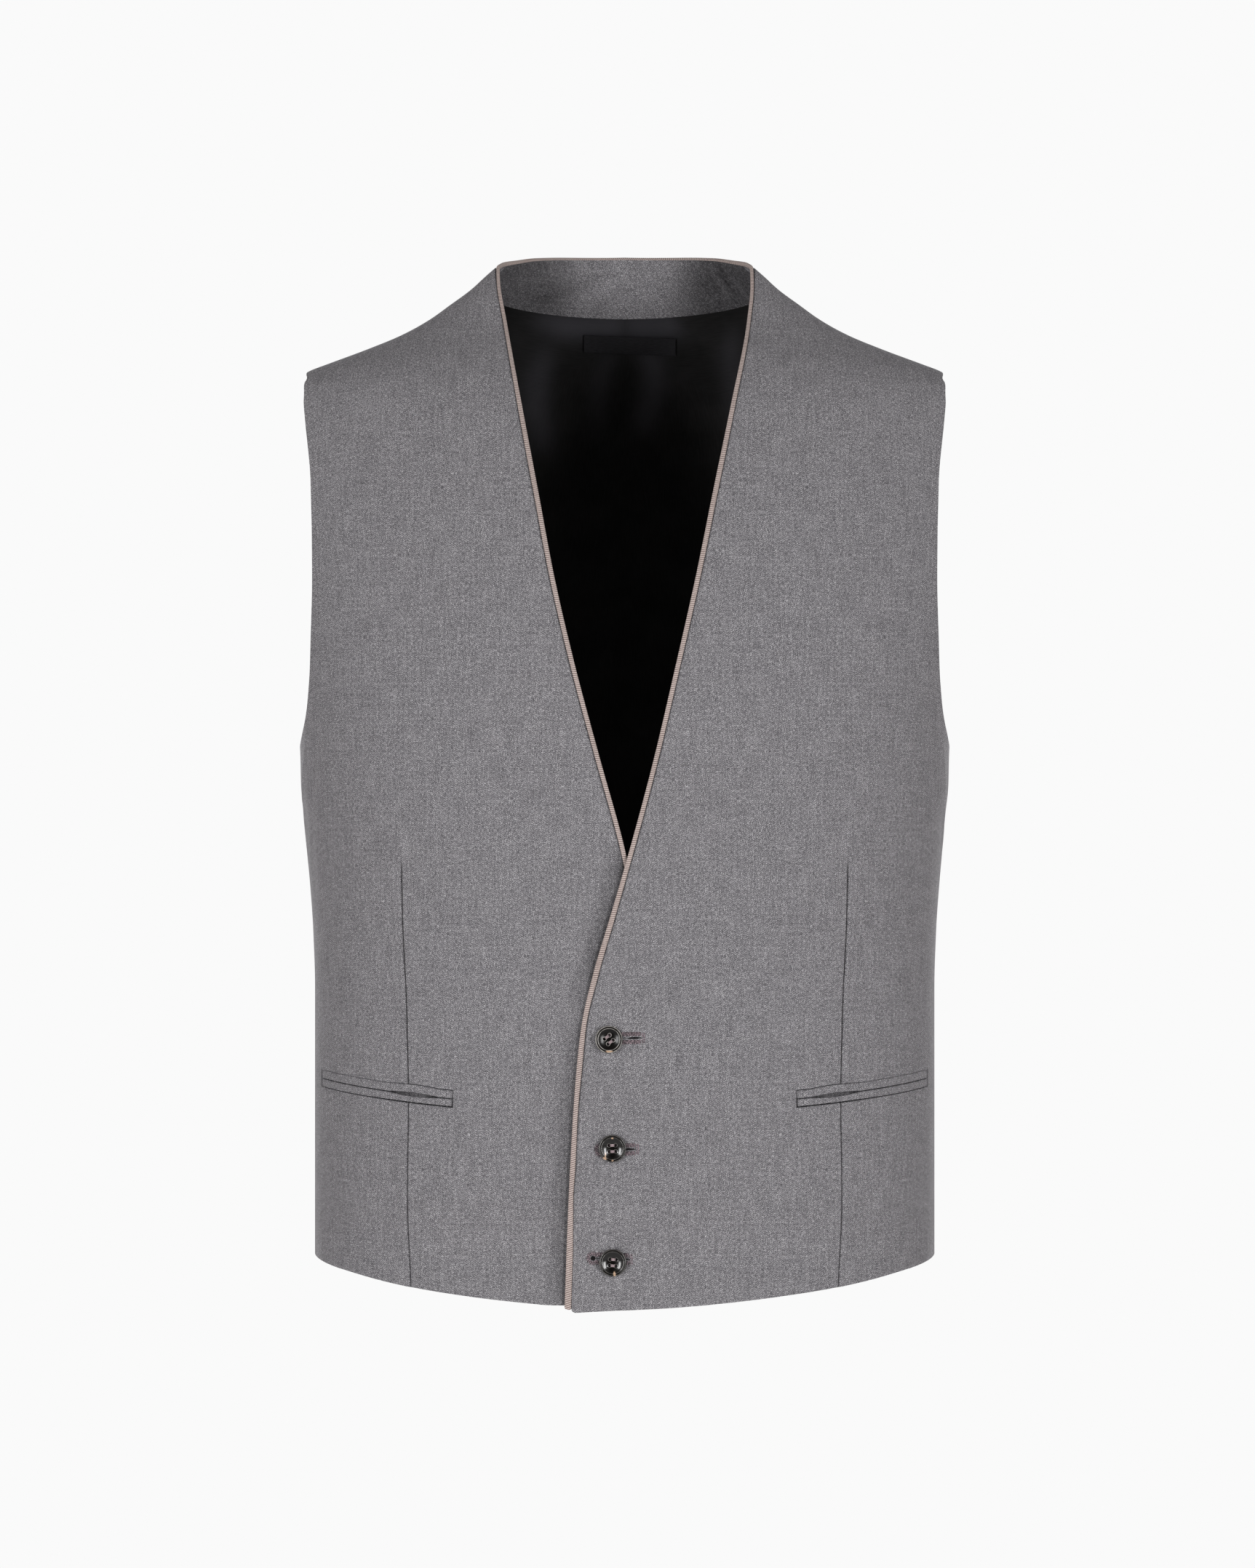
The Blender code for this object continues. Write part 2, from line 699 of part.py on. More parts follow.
def back_panels():
    """Satin back in two halves, and the lining that backs each of them."""
    outer = back_rows(BACK_LOWER_ROWS, BACK_MIDDLE_ROWS, BACK_NECK_ROWS, BACK_COLUMNS)
    for name, mirror in (("back_left", False), ("back_right", True)):
        solid_from_rows(name, outer, BACK_WALL, BLACK_SATIN, mirror)
    behind = lambda turn, level: -(BACK_WALL + SEAM_GAP)
    for name, mirror in (("lining_left", False), ("lining_right", True)):
        solid_from_rows(name, outer, LINING_WALL, BLACK_SATIN, mirror, behind)


def neck_band():
    """The standing band round the back of the neck, in one piece from shoulder to shoulder."""
    half_gap = SEAM_GAP / 2
    seam = SHOULDER_SEAM_BACK + half_gap
    seam_turn = turn_behind(seam, BAND_BASE_LEVEL + BAND_BASE_RISE * 0.75)
    base = [(t, band_base_level(t) + half_gap) for t in np.linspace(seam_turn, -1.0, 40)]
    top = inset_path(neck_edge_places(), PIPING_WIDTH + SEAM_GAP, inner_hint=(0.0, -1.0))
    top[0] = shoulder_seam(top[0][1], seam)
    top[-1] = (CENTRE_BACK, top[-1][1])
    base = even_points(base, BAND_COLUMNS // 2, on_figure)
    rows = []
    for up in np.linspace(0, 1, BAND_ROWS + 1):
        left = [tuple(np.array(b) * (1 - up) + np.array(t) * up) for b, t in zip(base, top)]
        left[0] = shoulder_seam(left[0][1], seam)
        right = [(-2.0 - turn, level) for turn, level in left[-2::-1]]
        rows.append(left + right)
    solid_from_rows("neck_band", rows, BAND_WALL, GREY_WORSTED)


def all_piping():
    for front, mirror in (("left_front", False), ("right_front", True)):
        frames = edge_frames(front_edge_places(front), None if mirror else lap_lift)
        piping("piping_" + front, frames, mirror)
    left = neck_edge_places()
    right = [(-2.0 - turn, level) for turn, level in left[-2::-1]]
    piping("piping_neck", edge_frames(left + right, inner_hint=(0.0, -1.0)))


def pocket_path():
    """Places along the pocket's mouth, from its inner end to its outer end."""
    inner = (front_turn(POCKET_INNER_ACROSS, POCKET_INNER_LEVEL), POCKET_INNER_LEVEL)
    outer = (front_turn(POCKET_OUTER_ACROSS, POCKET_OUTER_LEVEL), POCKET_OUTER_LEVEL)
    shares = np.linspace(0, 1, 60)
    path = [tuple(np.array(inner) * (1 - s) + np.array(outer) * s) for s in shares]
    return even_points(path, 18, on_figure)


def mouth_opening(share):
    """Height of the open mouth at a share of its length from the inner end."""
    spread = max(0.0, 1 - ((share - GAPE_CENTRE) / GAPE_HALF_LENGTH) ** 2)
    return MOUTH_CLOSED + (MOUTH_GAPE - MOUTH_CLOSED) * spread


def pocket_jets(front):
    """The two folded strips round a pocket's mouth, on the outside of the front."""
    mirror = front == "right_front"
    path = pocket_path()
    proud = None if mirror else lap_lift
    frames = edge_frames(path, proud, inner_hint=(0.0, -1.0))
    side_name = front.split("_")[0]
    for jet, way in (("upper", -1), ("lower", 1)):
        seated = []
        for i, (point, normal, down) in enumerate(frames):
            start = way * mouth_opening(i / (len(frames) - 1)) / 2
            seated.append((point + down * start, normal, down * way))
        outline = (
            (0.0, SEAM_GAP),
            (0.0, SEAM_GAP + JET_THICK),
            (JET_WIDTH, SEAM_GAP + JET_THICK * 0.8),
            (JET_WIDTH, SEAM_GAP),
        )
        sweep("jet_%s_%s" % (side_name, jet), seated, outline, GREY_WORSTED, mirror)


def button(number, across, level):
    """A turned four-hole button with a rolled rim, on the left front."""
    bm = bmesh.new()
    verts = [bm.verts.new((radius, 0, height)) for radius, height in BUTTON_PROFILE]
    edges = [bm.edges.new(pair) for pair in zip(verts, verts[1:])]
    bmesh.ops.spin(
        bm,
        geom=verts + edges,
        axis=(0, 0, 1),
        cent=(0, 0, 0),
        angle=math.tau,
        steps=BUTTON_SEGMENTS,
        use_merge=True,
    )
    bmesh.ops.remove_doubles(bm, verts=bm.verts, dist=0.01)
    turn = front_turn(across, level)
    normal = Vector(outward(turn, level))
    seat = Vector(surface(turn, level) + outward(turn, level) * (lap_lift(turn, level) + BUTTON_SEAT))
    facing = normal.to_track_quat("Z", "Y").to_matrix().to_4x4()
    stand = Matrix.Translation(seat * MM) @ facing
    piece = finish_piece("button_%d" % number, bm, DARK_HORN)
    piece.matrix_world = stand
    drills = bmesh.new()
    for sx in (-1, 1):
        for sy in (-1, 1):
            drill = bmesh.ops.create_cone(
                drills,
                cap_ends=True,
                segments=10,
                radius1=BUTTON_HOLE_RADIUS,
                radius2=BUTTON_HOLE_RADIUS,
                depth=6.0,
            )
            shift = (sx * BUTTON_HOLE_OFFSET, sy * BUTTON_HOLE_OFFSET, 0.8)
            bmesh.ops.translate(drills, vec=shift, verts=drill["verts"])
    cutter = finish_piece("button_%d_drills" % number, drills, DARK_HORN)
    cutter.matrix_world = stand
    cutter.hide_render = True
    cutter.display_type = "WIRE"
    cut = piece.modifiers.new("holes", "BOOLEAN")
    cut.operation = "DIFFERENCE"
    cut.object = cutter


def label():
    """The bare woven label under the neck band, on the lining."""
    columns, rows_count = 12, 2
    rows = []
    for j in range(rows_count + 1):
        row = []
        for i in range(columns + 1):
            across = LABEL_ACROSS + LABEL_WIDTH * (i / columns - 0.5)
            level = LABEL_LEVEL + LABEL_HEIGHT * (j / rows_count - 0.5)
            level -= LABEL_DROP * (i / columns - 0.5)
            turn = back_turn(abs(across), level)
            row.append((turn if across >= 0 else -2.0 - turn, level))
        rows.append(row)
    depth = lambda turn, level: -(BAND_WALL + LABEL_STAND)
    solid_from_rows("label", rows, LABEL_THICK, BLACK_SATIN, proud=depth)


def build():
    for old in list(bpy.data.objects):
        bpy.data.objects.remove(old)
    for front in ("left_front", "right_front"):
        front_panel(front)
        pocket_jets(front)
    back_panels()
    neck_band()
    all_piping()
    for number, (across, level) in enumerate(BUTTON_PLACES, start=1):
        button(number, across, level)
    label()


build()
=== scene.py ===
"""Looks of a men's suit waistcoat: worsted fronts, satin back, ribbed ribbon edges, horn buttons.

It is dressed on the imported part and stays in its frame: +Z up, the garment faces -Y, and +X is the
wearer's left. Sizes are in millimetres until a mesh is finished.

A place on the figure that carries the cloth has two numbers: its level z, and its turn, which runs
from -1 at the centre back through 0 at the side to 1 at the centre front. The wearer's left side is
worked out, and the right side is its mirror image with folds of its own.
"""

import math

import bmesh
import bpy
import numpy as np
from mathutils import Matrix, Vector


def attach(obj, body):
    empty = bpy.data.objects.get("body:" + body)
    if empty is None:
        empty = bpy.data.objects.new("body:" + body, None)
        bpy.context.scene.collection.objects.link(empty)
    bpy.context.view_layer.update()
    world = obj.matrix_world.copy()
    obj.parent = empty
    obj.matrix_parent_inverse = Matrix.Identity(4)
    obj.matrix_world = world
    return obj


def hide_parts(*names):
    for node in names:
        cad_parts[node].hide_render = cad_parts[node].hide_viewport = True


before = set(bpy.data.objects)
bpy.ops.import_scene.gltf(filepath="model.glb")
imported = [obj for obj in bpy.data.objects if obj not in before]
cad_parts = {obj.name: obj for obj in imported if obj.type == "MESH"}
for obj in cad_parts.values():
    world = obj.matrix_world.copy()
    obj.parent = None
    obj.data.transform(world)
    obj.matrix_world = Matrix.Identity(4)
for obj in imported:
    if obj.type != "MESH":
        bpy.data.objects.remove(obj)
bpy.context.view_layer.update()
MM = 0.001

# ---------------------------------------------------------------- sizes shared with the solids

SEAM_GAP = 0.3
JOIN_GAP = 0.02  # between pieces that are sewn edge to edge
FRONT_WALL = 1.8
BACK_WALL = 1.2
LINING_WALL = 1.0
BAND_WALL = BACK_WALL + SEAM_GAP + LINING_WALL
LAP_LIFT = 2.5
PIPING_WIDTH = 2.9
SHOULDER_SEAM_BACK = 12.0
SIDE_SEAM_BACK = 10.0
BAND_BASE_LEVEL = -19.8
BAND_BASE_RISE = 15.0
CENTRE_BACK = -1.0

FIGURE_COLUMNS = ("level", "half_width", "front", "back", "front_square", "back_square")
FIGURE = (
    (16, 67.8, 10, 60, 2, 2),
    (10.2, 69.7, 13, 60.8, 2, 2),
    (7, 71.2, 15, 61.3, 2, 2),
    (4.5, 72.6, 17, 61.8, 2, 2),
    (2.4, 75, 18.4, 62.4, 2, 2),
    (-1.8, 79.8, 21.2, 63.6, 2, 2),
    (-10.2, 89, 27, 66.5, 2, 2),
    (-18.6, 100.4, 32.4, 69.8, 2, 2),
    (-27.6, 113, 37.7, 74.5, 2, 2),
    (-36.3, 128.7, 44, 80, 2, 2),
    (-44.8, 149.1, 51.5, 85.5, 2, 2),
    (-53.2, 171.6, 58.8, 90.2, 2, 2),
    (-57.2, 182, 62, 92.2, 2, 2),
    (-59.8, 186.5, 64, 93.2, 2, 2),
    (-62.4, 190.6, 66, 94.2, 2, 2),
    (-66.4, 197, 68.6, 95.6, 2.01, 2.01),
    (-80, 203.5, 76.5, 99.5, 2.03, 2.03),
    (-97, 205, 85, 104, 2.05, 2.05),
    (-125, 205.6, 95.5, 109.2, 2.1, 2.1),
    (-155, 203, 104, 112.6, 2.16, 2.16),
    (-185, 199.2, 110.5, 114, 2.22, 2.22),
    (-213, 195, 115, 113.6, 2.27, 2.26),
    (-238, 191.2, 117.5, 112, 2.31, 2.3),
    (-258, 188.4, 118.5, 110.2, 2.34, 2.33),
    (-279, 186.8, 119, 108, 2.37, 2.35),
    (-296, 186.4, 119, 106, 2.39, 2.36),
    (-313, 184.6, 118.9, 104, 2.4, 2.37),
    (-346, 181.7, 118.4, 100.2, 2.42, 2.38),
    (-380, 179.3, 116.6, 96.8, 2.44, 2.39),
    (-413, 178.3, 114.6, 94.4, 2.46, 2.4),
    (-450, 178.3, 112.6, 93.4, 2.48, 2.4),
    (-500, 178.3, 112.2, 95.6, 2.5, 2.42),
    (-560, 178.3, 113.2, 101, 2.5, 2.44),
    (-600, 178.3, 114.2, 104, 2.5, 2.45),
)

FRONT_EDGE_COLUMNS = ("level", "left_front", "right_front")
FRONT_EDGE = (
    (-588.5, -33.4, -26),
    (-520, -30.8, -25),
    (-460, -27.2, -23),
    (-430, -24, -20),
    (-400, -17.3, -15),
    (-370, -8.4, -8.5),
    (-330, 3.2, 0.2),
    (-280, 16.5, 14),
    (-230, 28.2, 27.4),
    (-180, 39.5, 39.1),
    (-130, 49.7, 48.6),
    (-83, 59.5, 57.6),
    (-30, 70, 67.6),
    (-8, 72.4, 71.6),
    (4.5, 72.6, 72.6),
)
NECK_TOP_COLUMNS = ("turn_back", "level")
NECK_TOP = ((0.0, 4.5), (0.10, 6.8), (0.29, 9.8), (0.45, 12.3), (0.65, 13.8), (1.0, 14.7))
HEM_COLUMNS = ("turn", "level")
HEM = (
    (-1, -566), (-0.3, -565.2), (0, -564.8), (0.32, -569.2), (0.58, -576.5),
    (0.835, -583.5), (1, -587.4), (1.1, -588.5),
)
UNDER_LAP_RISE = 2.0

# Armhole from the side seam up to the shoulder seam: distance behind the side line, and level.
ARMHOLE_FRONT = (
    (SIDE_SEAM_BACK, -275.5), (-8, -275), (-25, -270), (-40, -258), (-50, -238),
    (-55, -213), (-57, -185), (-55, -155), (-50, -125), (-41, -97), (-32.6, -77),
    (-27, -68.5), (-20.9, -63.2), (-11, -59.4), (0, -57.3), (SHOULDER_SEAM_BACK, -58),
)
ARMHOLE_BACK = (
    (SIDE_SEAM_BACK, -275.5), (30, -270), (47, -256), (60, -235), (67, -205), (69, -170),
    (66, -135), (56.5, -100), (44, -76), (28, -63), (SHOULDER_SEAM_BACK, -58),
)
DART_COLUMNS = ("level", "across")
DART = (
    (-339, 124.9), (-376, 124.2), (-430, 121.9), (-475, 121.1), (-520, 121.7), (-590, 119),
)
DART_FADE = 14.0

POCKET_INNER = (96.0, -471.0)  # across, level
POCKET_OUTER = (172.2, -462.7)
JET_WIDTH = 4.7
POCKET_SAG = 0.55  # the mouth hangs this far below a straight line in its middle
MOUTH_GAPE = 2.3
MOUTH_CLOSED = 0.46
GAPE_CENTRE = 0.29
GAPE_HALF_LENGTH = 0.185

BUTTON_PLACES = ((-8.8, -437.0), (-6.8, -497.5), (-6.4, -560.9))  # across, level
BUTTON_SEAT = 0.9

LABEL_WIDTH = 55.0
LABEL_HEIGHT = 9.4
LABEL_THICK = 0.6
LABEL_ACROSS = 3.0
LABEL_LEVEL = -34.0
LABEL_STAND = 0.6
LABEL_DROP = 2.0

# ---------------------------------------------------------------- fineness and finer form

CORNER_DROP = 1.1  # the left front hangs this much lower at its corner
CORNER_RADIUS = 2.6  # the left front's lower corner at its free edge
PIPING_ABOVE_HEM = 1.9
END_CORNER_RADIUS = 1.5
RECESS_DEPTH = 1.35  # the front is set back under the pocket jets
DART_GROOVE = 0.85
DART_HALF = 0.34
DART_OUTER_RISE = 0.38  # the cloth swells beside the dart on the side away from the centre
DART_INNER_SINK = 0.22
# Soft bumps, and marks of painted shade, beside the seams: amount, middle and half-width in mm.
DART_SWELL = (DART_OUTER_RISE, -3.2, 2.8)
DART_SINK = (DART_INNER_SINK, 3.0, 3.0)
RECESS_ROLL = (0.35, 0.0, 0.45)  # the cloth rolls down to the jets
EDGE_ROLL = (0.3, 0.0, 0.45)  # and to the ribbon
# painted shade in the groove beside the ribbon and in the gap at the pocket's outer end
EDGE_PAINTED_SHADE = (0.95, 0.0, 0.55)
POCKET_END_PAINTED_SHADE = (0.9, 0.95, 0.4)
FACING_WIDTH = 55.0  # the worsted turns this far round the free edge, inside

# The piping's section: distance in from its free side, height over the cloth. It closes.
PIPING_SECTION = (
    (0, -0.5), (0.04, -0.2), (0.22, 0.08), (0.65, 0.22), (1.45, 0.28), (2.25, 0.22),
    (2.7, 0.05), (2.9, -0.3), (2.9, -1.5), (2.6, -1.85), (1.9, -1.85), (0.9, -1.5),
    (0.2, -0.95),
)
PIPING_INSIDE = 1.3  # how far it reaches down inside the neck band
PIPING_SHOWN_COLUMNS = ("level", "share")
PIPING_SHOWN = (
    (-600, 1.3), (-558, 1.27), (-538, 1.08), (-523, 0.92), (-507, 1.05), (-476, 0.93),
    (-450, 1.08), (-425, 0.93), (-400, 1.06), (-370, 0.98), (-330, 0.88), (-240, 0.9),
    (-125, 0.96), (-10, 0.7), (20, 0.7),
)
# A jet's section: distance from the mouth, height over the cloth. It closes.
JET_SECTION = (
    (0, -0.95), (0, -0.25), (0.12, 0.08), (0.45, 0.28), (1.1, 0.34), (2.4, 0.26),
    (3.7, 0.16), (4.15, 0.04), (4.35, -0.22), (4.38, -0.95), (2.2, -1),
)
JET_SECTION_WIDTH = 4.38
# The button's section from the middle of its back out over the rim to the dished middle.
BUTTON_SECTION = (
    (0, 0), (4.4, 0), (5.6, 0.25), (6.7, 0.75), (7.35, 1.25), (7.62, 1.75), (7.62, 2.1),
    (7.45, 2.45), (7.15, 2.68), (6.85, 2.74), (6.66, 2.66), (6.56, 2.46), (6.46, 2.4),
    (6.34, 2.46), (6.2, 2.6), (5.98, 2.62), (5.75, 2.52), (5.2, 2.26), (4.6, 2.02),
    (4, 1.82), (3.3, 1.64), (2.5, 1.5), (1.4, 1.38), (0, 1.34),
)
BUTTON_HOLE_RADIUS = 0.95
BUTTON_HOLE_OFFSET = 1.72
BUTTON_HOLES = [(x * BUTTON_HOLE_OFFSET, y * BUTTON_HOLE_OFFSET) for x in (-1, 1) for y in (-1, 1)]
HOLE_ROUND = 0.18
DRILL_MERGE = 0.08  # slivers that the drilled holes leave are merged over this distance
# Degrees that each button has turned on its thread, and that it leans up and to the side.
BUTTON_TURNS = ((37.0, 7.0, 3.0), (2.0, -2.0, 1.0), (-5.0, -1.0, -2.0))

# Buttonholes on the left front: left and right end across, level of the left end and the right.
BUTTONHOLES = (
    (-14.6, 11.4, -436.6, -436),
    (-17.2, 8.2, -498.6, -498),
    (-21.4, 4.6, -558.6, -559.2),
)
STITCH_STEP = 1.1
STITCH_LENGTH = 2.3
STITCH_THICK = 0.42
STITCH_WIDTH = 0.52
STITCH_STAND = 0.12  # middle of a stitch over the cloth
GIMP_STAND = 0.04
GIMP_THICK = 0.26
SLIT_STAND = 0.12
EYE_STAND = 0.14
ROW_CENTRE = 2.2  # from the slit to the middle of a row of stitches
EYE_RADIUS = 2.75  # middle of the ring of stitches round the keyhole's eye
EYE_HOLE = 1.35
EYE_STITCHES = 16
BAR_WIDTH = 2.4

# The shade on the right front beside the edge that laps over it: its amount, and how much deeper
# it is close to the edge.
LAP_SHADE_COLUMNS = ("level", "wide", "near")
LAP_SHADE = (
    (-325, 0, 0),
    (-335, 0.33, 0.42),
    (-345, 0.38, 0.28),
    (-355, 0.34, 0.05),
    (-375, 0.46, 0.05),
    (-385, 0.4, 0.15),
    (-398, 0.34, 0.22),
    (-415, 0.18, 0.15),
    (-430, 0.24, 0.05),
    (-450, 0.26, 0.05),
    (-470, 0.36, 0.05),
    (-555, 0.38, 0.05),
    (-575, 0.24, 0.25),
    (-600, 0.2, 0.25),
)

# Folds: height (below zero for a trough), half-width, and the places (turn, level) of its run.
# Each one dies away at its ends.
BOTH_FRONTS = (
    # the hollow under the collar bone and the swell of the chest
    (-0.5, 16, ((0.3, -95), (0.42, -150), (0.5, -215))),
    (0.7, 22, ((0.66, -120), (0.68, -190), (0.7, -260))),
    # the cloth pulls in lightly over the waist
    (-0.5, 18, ((0.95, -392), (0.7, -405), (0.4, -400))),
    (0.4, 12, ((0.92, -520), (0.7, -540), (0.45, -538))),
)
LEFT_FRONT_FOLDS = BOTH_FRONTS + (
    (0.5, 2.4, ((0.15, -21), (0.26, -31), (0.37, -42), (0.44, -52))),
    (-0.35, 3.5, ((0.566, -347), (0.59, -326), (0.615, -308))),
    (0.35, 6, ((0.52, -350), (0.53, -334), (0.545, -318))),
    (0.55, 2.4, ((0.2, -258), (0.15, -285), (0.085, -322), (0.06, -360))),
    (-0.4, 5, ((0.29, -262), (0.24, -292), (0.18, -330))),
    (0.35, 7, ((0.33, -360), (0.335, -400), (0.325, -450))),
    (-0.3, 6, ((0.25, -380), (0.245, -430), (0.235, -470))),
    (0.3, 5, ((0.8, -232), (0.85, -262), (0.905, -300))),
    (-0.35, 6, ((0.74, -436), (0.86, -442), (0.945, -438))),
    # each button draws the cloth in
    (-0.7, 7, ((1.03, -432), (1.032, -437), (1.034, -442))),
    (-0.7, 7, ((1.022, -492.5), (1.024, -497.5), (1.026, -502.5))),
    (-0.7, 7, ((1.02, -556), (1.022, -561), (1.024, -566))),
)
RIGHT_FRONT_FOLDS = BOTH_FRONTS + (
    (0.5, 2.4, ((0.195, -27), (0.3, -36), (0.41, -46), (0.46, -54))),
    (-0.4, 3.5, ((0.566, -347), (0.586, -328), (0.62, -306))),
    (0.4, 6, ((0.52, -352), (0.525, -336), (0.54, -316))),
    (0.7, 2.2, ((0.195, -259), (0.135, -283), (0.075, -316), (0.07, -368))),
    (-0.45, 5, ((0.285, -258), (0.225, -292), (0.165, -335), (0.15, -372))),
    (0.35, 7, ((0.32, -352), (0.328, -396), (0.318, -438))),
    (-0.3, 7, ((0.4, -500), (0.42, -530), (0.41, -556))),
    (0.3, 5, ((0.79, -226), (0.85, -266), (0.9, -312))),
    # the cloth dips where the other front's edge presses on it
    (-2, 11, ((0.975, -330), (1.02, -400), (1.058, -440), (1.072, -640))),
)
BACK_LEFT_FOLDS = (
    (2.4, 11, ((-0.3, -255), (-0.45, -292), (-0.66, -318), (-0.82, -330))),
    (-1.9, 9, ((-0.26, -285), (-0.42, -325), (-0.62, -352))),
    (1.5, 9, ((-0.95, -120), (-0.9, -200), (-0.93, -300), (-0.96, -380))),
    (-1.4, 10, ((-0.8, -90), (-0.76, -170), (-0.8, -250))),
    (-1.5, 12, ((-0.97, -405), (-0.7, -398), (-0.4, -412))),
    (1.4, 10, ((-0.88, -430), (-0.6, -424), (-0.3, -440))),
    (1.5, 12, ((-0.56, -455), (-0.6, -505), (-0.58, -560))),
    (-1.2, 10, ((-0.3, -470), (-0.33, -520), (-0.31, -562))),
    (1.4, 8, ((-0.42, -75), (-0.55, -120), (-0.6, -180))),
)
BACK_RIGHT_FOLDS = (
    (2, 10, ((-0.28, -250), (-0.44, -283), (-0.62, -302), (-0.78, -308))),
    (-1.7, 9, ((-0.25, -278), (-0.4, -312), (-0.64, -340), (-0.76, -344))),
    (1.7, 10, ((-0.93, -140), (-0.89, -215), (-0.92, -290), (-0.95, -350))),
    (-1.2, 10, ((-0.78, -100), (-0.75, -160), (-0.82, -240))),
    (-1.7, 12, ((-0.96, -412), (-0.68, -404), (-0.36, -402))),
    (1.2, 10, ((-0.9, -442), (-0.62, -436), (-0.34, -432))),
    (1.4, 12, ((-0.66, -462), (-0.64, -510), (-0.68, -562))),
    (-1.4, 10, ((-0.36, -450), (-0.38, -505), (-0.35, -560))),
    (1.2, 8, ((-0.44, -80), (-0.58, -130), (-0.62, -170))),
)
LINING_LEFT_FOLDS = (
    (0.5, 6, ((-0.97, -40), (-0.93, -75), (-0.94, -130))),
    (-0.6, 8, ((-0.84, -34), (-0.8, -80), (-0.83, -150))),
    (0.5, 7, ((-0.62, -40), (-0.66, -90), (-0.64, -160))),
    (-0.5, 10, ((-0.95, -260), (-0.7, -300), (-0.4, -310))),
)
LINING_RIGHT_FOLDS = (
    (0.5, 6, ((-0.95, -50), (-0.9, -95), (-0.92, -140))),
    (-0.5, 8, ((-0.8, -30), (-0.78, -70), (-0.82, -140))),
    (0.6, 7, ((-0.66, -46), (-0.7, -100), (-0.68, -150))),
    (-0.5, 10, ((-0.93, -240), (-0.66, -280), (-0.38, -300))),
)
# On the inside of the neck band. A turn past -1 is on the wearer's right.
BAND_FOLDS = (
    (0.35, 4, ((-1.76, -3), (-1.6, 1), (-1.44, 3), (-1.28, 9))),
    (-0.4, 3.4, ((-1.48, -12), (-1.36, -9), (-1.22, -1), (-1.08, 6))),
    (0.35, 3.4, ((-1.26, -18), (-1.17, -9), (-1.07, 0), (-0.98, 9))),
    (-0.25, 2.6, ((-1.14, -19), (-1.06, -9), (-0.97, 0))),
    (0.2, 3, ((-0.96, -18), (-0.9, -6), (-0.86, 6))),
    (0.35, 2.4, ((-0.53, -14), (-0.49, -4), (-0.47, 10))),
    (-0.45, 1.8, ((-0.45, -10), (-0.43, 0), (-0.4, 5), (-0.42, 11))),
    (0.3, 1.6, ((-0.4, -12), (-0.37, -4), (-0.36, 8))),
)
# Painted gleams on the lining behind the neck, soft highlights painted into its colour: amount,
# half-width, and places (across, level).
LINING_LEFT_GLEAMS = (
    (0.5, 9, ((-14, -26), (8, -25), (26, -24), (37, -20))),
    (0.5, 8, ((10, -24), (16, -48), (13, -74), (8, -92))),
    (0.3, 7, ((66, -18), (64, -50), (62, -92))),
)
LINING_RIGHT_GLEAMS = (
    (0.55, 9, ((-14, -26), (10, -25), (34, -24), (62, -18))),
    (0.4, 8, ((48, -26), (51, -52), (49, -86), (52, -104))),
    (0.25, 7, ((6, -30), (14, -56), (15, -96))),
)

# ---------------------------------------------------------------- smooth tables and curves


def smooth_table(places, values):
    """A function through the table's points that never overshoots between them."""
    order = np.argsort(places)
    xs = np.array(places, float)[order]
    ys = np.array(values, float)[order]
    steps = np.diff(xs)
    slopes = np.diff(ys) / steps
    tangents = np.zeros_like(ys)
    tangents[0], tangents[-1] = slopes[0], slopes[-1]
    for i in range(1, len(xs) - 1):
        before, after = slopes[i - 1], slopes[i]
        if before * after > 0:
            heavy_before = 2 * steps[i] + steps[i - 1]
            heavy_after = steps[i] + 2 * steps[i - 1]
            total = heavy_before + heavy_after
            tangents[i] = total / (heavy_before / before + heavy_after / after)

    def value(x):
        x = np.clip(x, xs[0], xs[-1])
        i = np.clip(np.searchsorted(xs, x) - 1, 0, len(steps) - 1)
        s = (x - xs[i]) / steps[i]
        start = (1 + 2 * s) * (1 - s) ** 2 * ys[i] + s * (1 - s) ** 2 * steps[i] * tangents[i]
        end = s * s * (3 - 2 * s) * ys[i + 1] + s * s * (s - 1) * steps[i] * tangents[i + 1]
        return start + end

    return value


def table_curves(columns, rows):
    """smooth_table() of every further column of a table against its first, by its name."""
    first, *others = zip(*rows)
    return {name: smooth_table(first, values) for name, values in zip(columns[1:], others)}


def smoothstep(x):
    x = np.clip(x, 0.0, 1.0)
    return x * x * (3 - 2 * x)


def bell(x, width):
    """One at zero, falling to nothing over a few widths to each side."""
    return np.exp(-((x / width) ** 2))


def soft_bump(x, shape):
    """A rise (or a mark) with this amount, middle and half-width."""
    amount, middle, width = shape
    return amount * bell(x - middle, width)


def rounded_path(points, pieces=8):
    """Points on a smooth curve through the given plane points."""
    pts = np.array(points, float)
    ends = np.vstack((2 * pts[0] - pts[1], pts, 2 * pts[-1] - pts[-2]))
    path = [pts[0]]
    for before, here, there, after in zip(ends, ends[1:], ends[2:], ends[3:]):
        for s in np.arange(1, pieces + 1) / pieces:
            pull = (there - before) * s + (2 * before - 5 * here + 4 * there - after) * s * s
            pull += (3 * here - before - 3 * there + after) * s**3
            path.append(here + pull / 2)
    return np.array(path)


def even_points(path, count, place=None, grading=1.0):
    """count + 1 points at even distances along a path; place() turns them into 3-D to measure.
    A grading above 1 brings the points closer together towards the path's end."""
    path = np.array(path, float)
    measured = place(path[:, 0], path[:, 1]) if place else path
    steps = np.linalg.norm(np.diff(measured, axis=0), axis=1)
    lengths = np.concatenate(([0.0], np.cumsum(steps)))
    wanted = lengths[-1] * (1 - np.linspace(1, 0, count + 1) ** grading)
    return np.stack([np.interp(wanted, lengths, column) for column in path.T], axis=1)


def unit(vectors):
    return vectors / np.linalg.norm(vectors, axis=-1, keepdims=True)


# ---------------------------------------------------------------- the figure

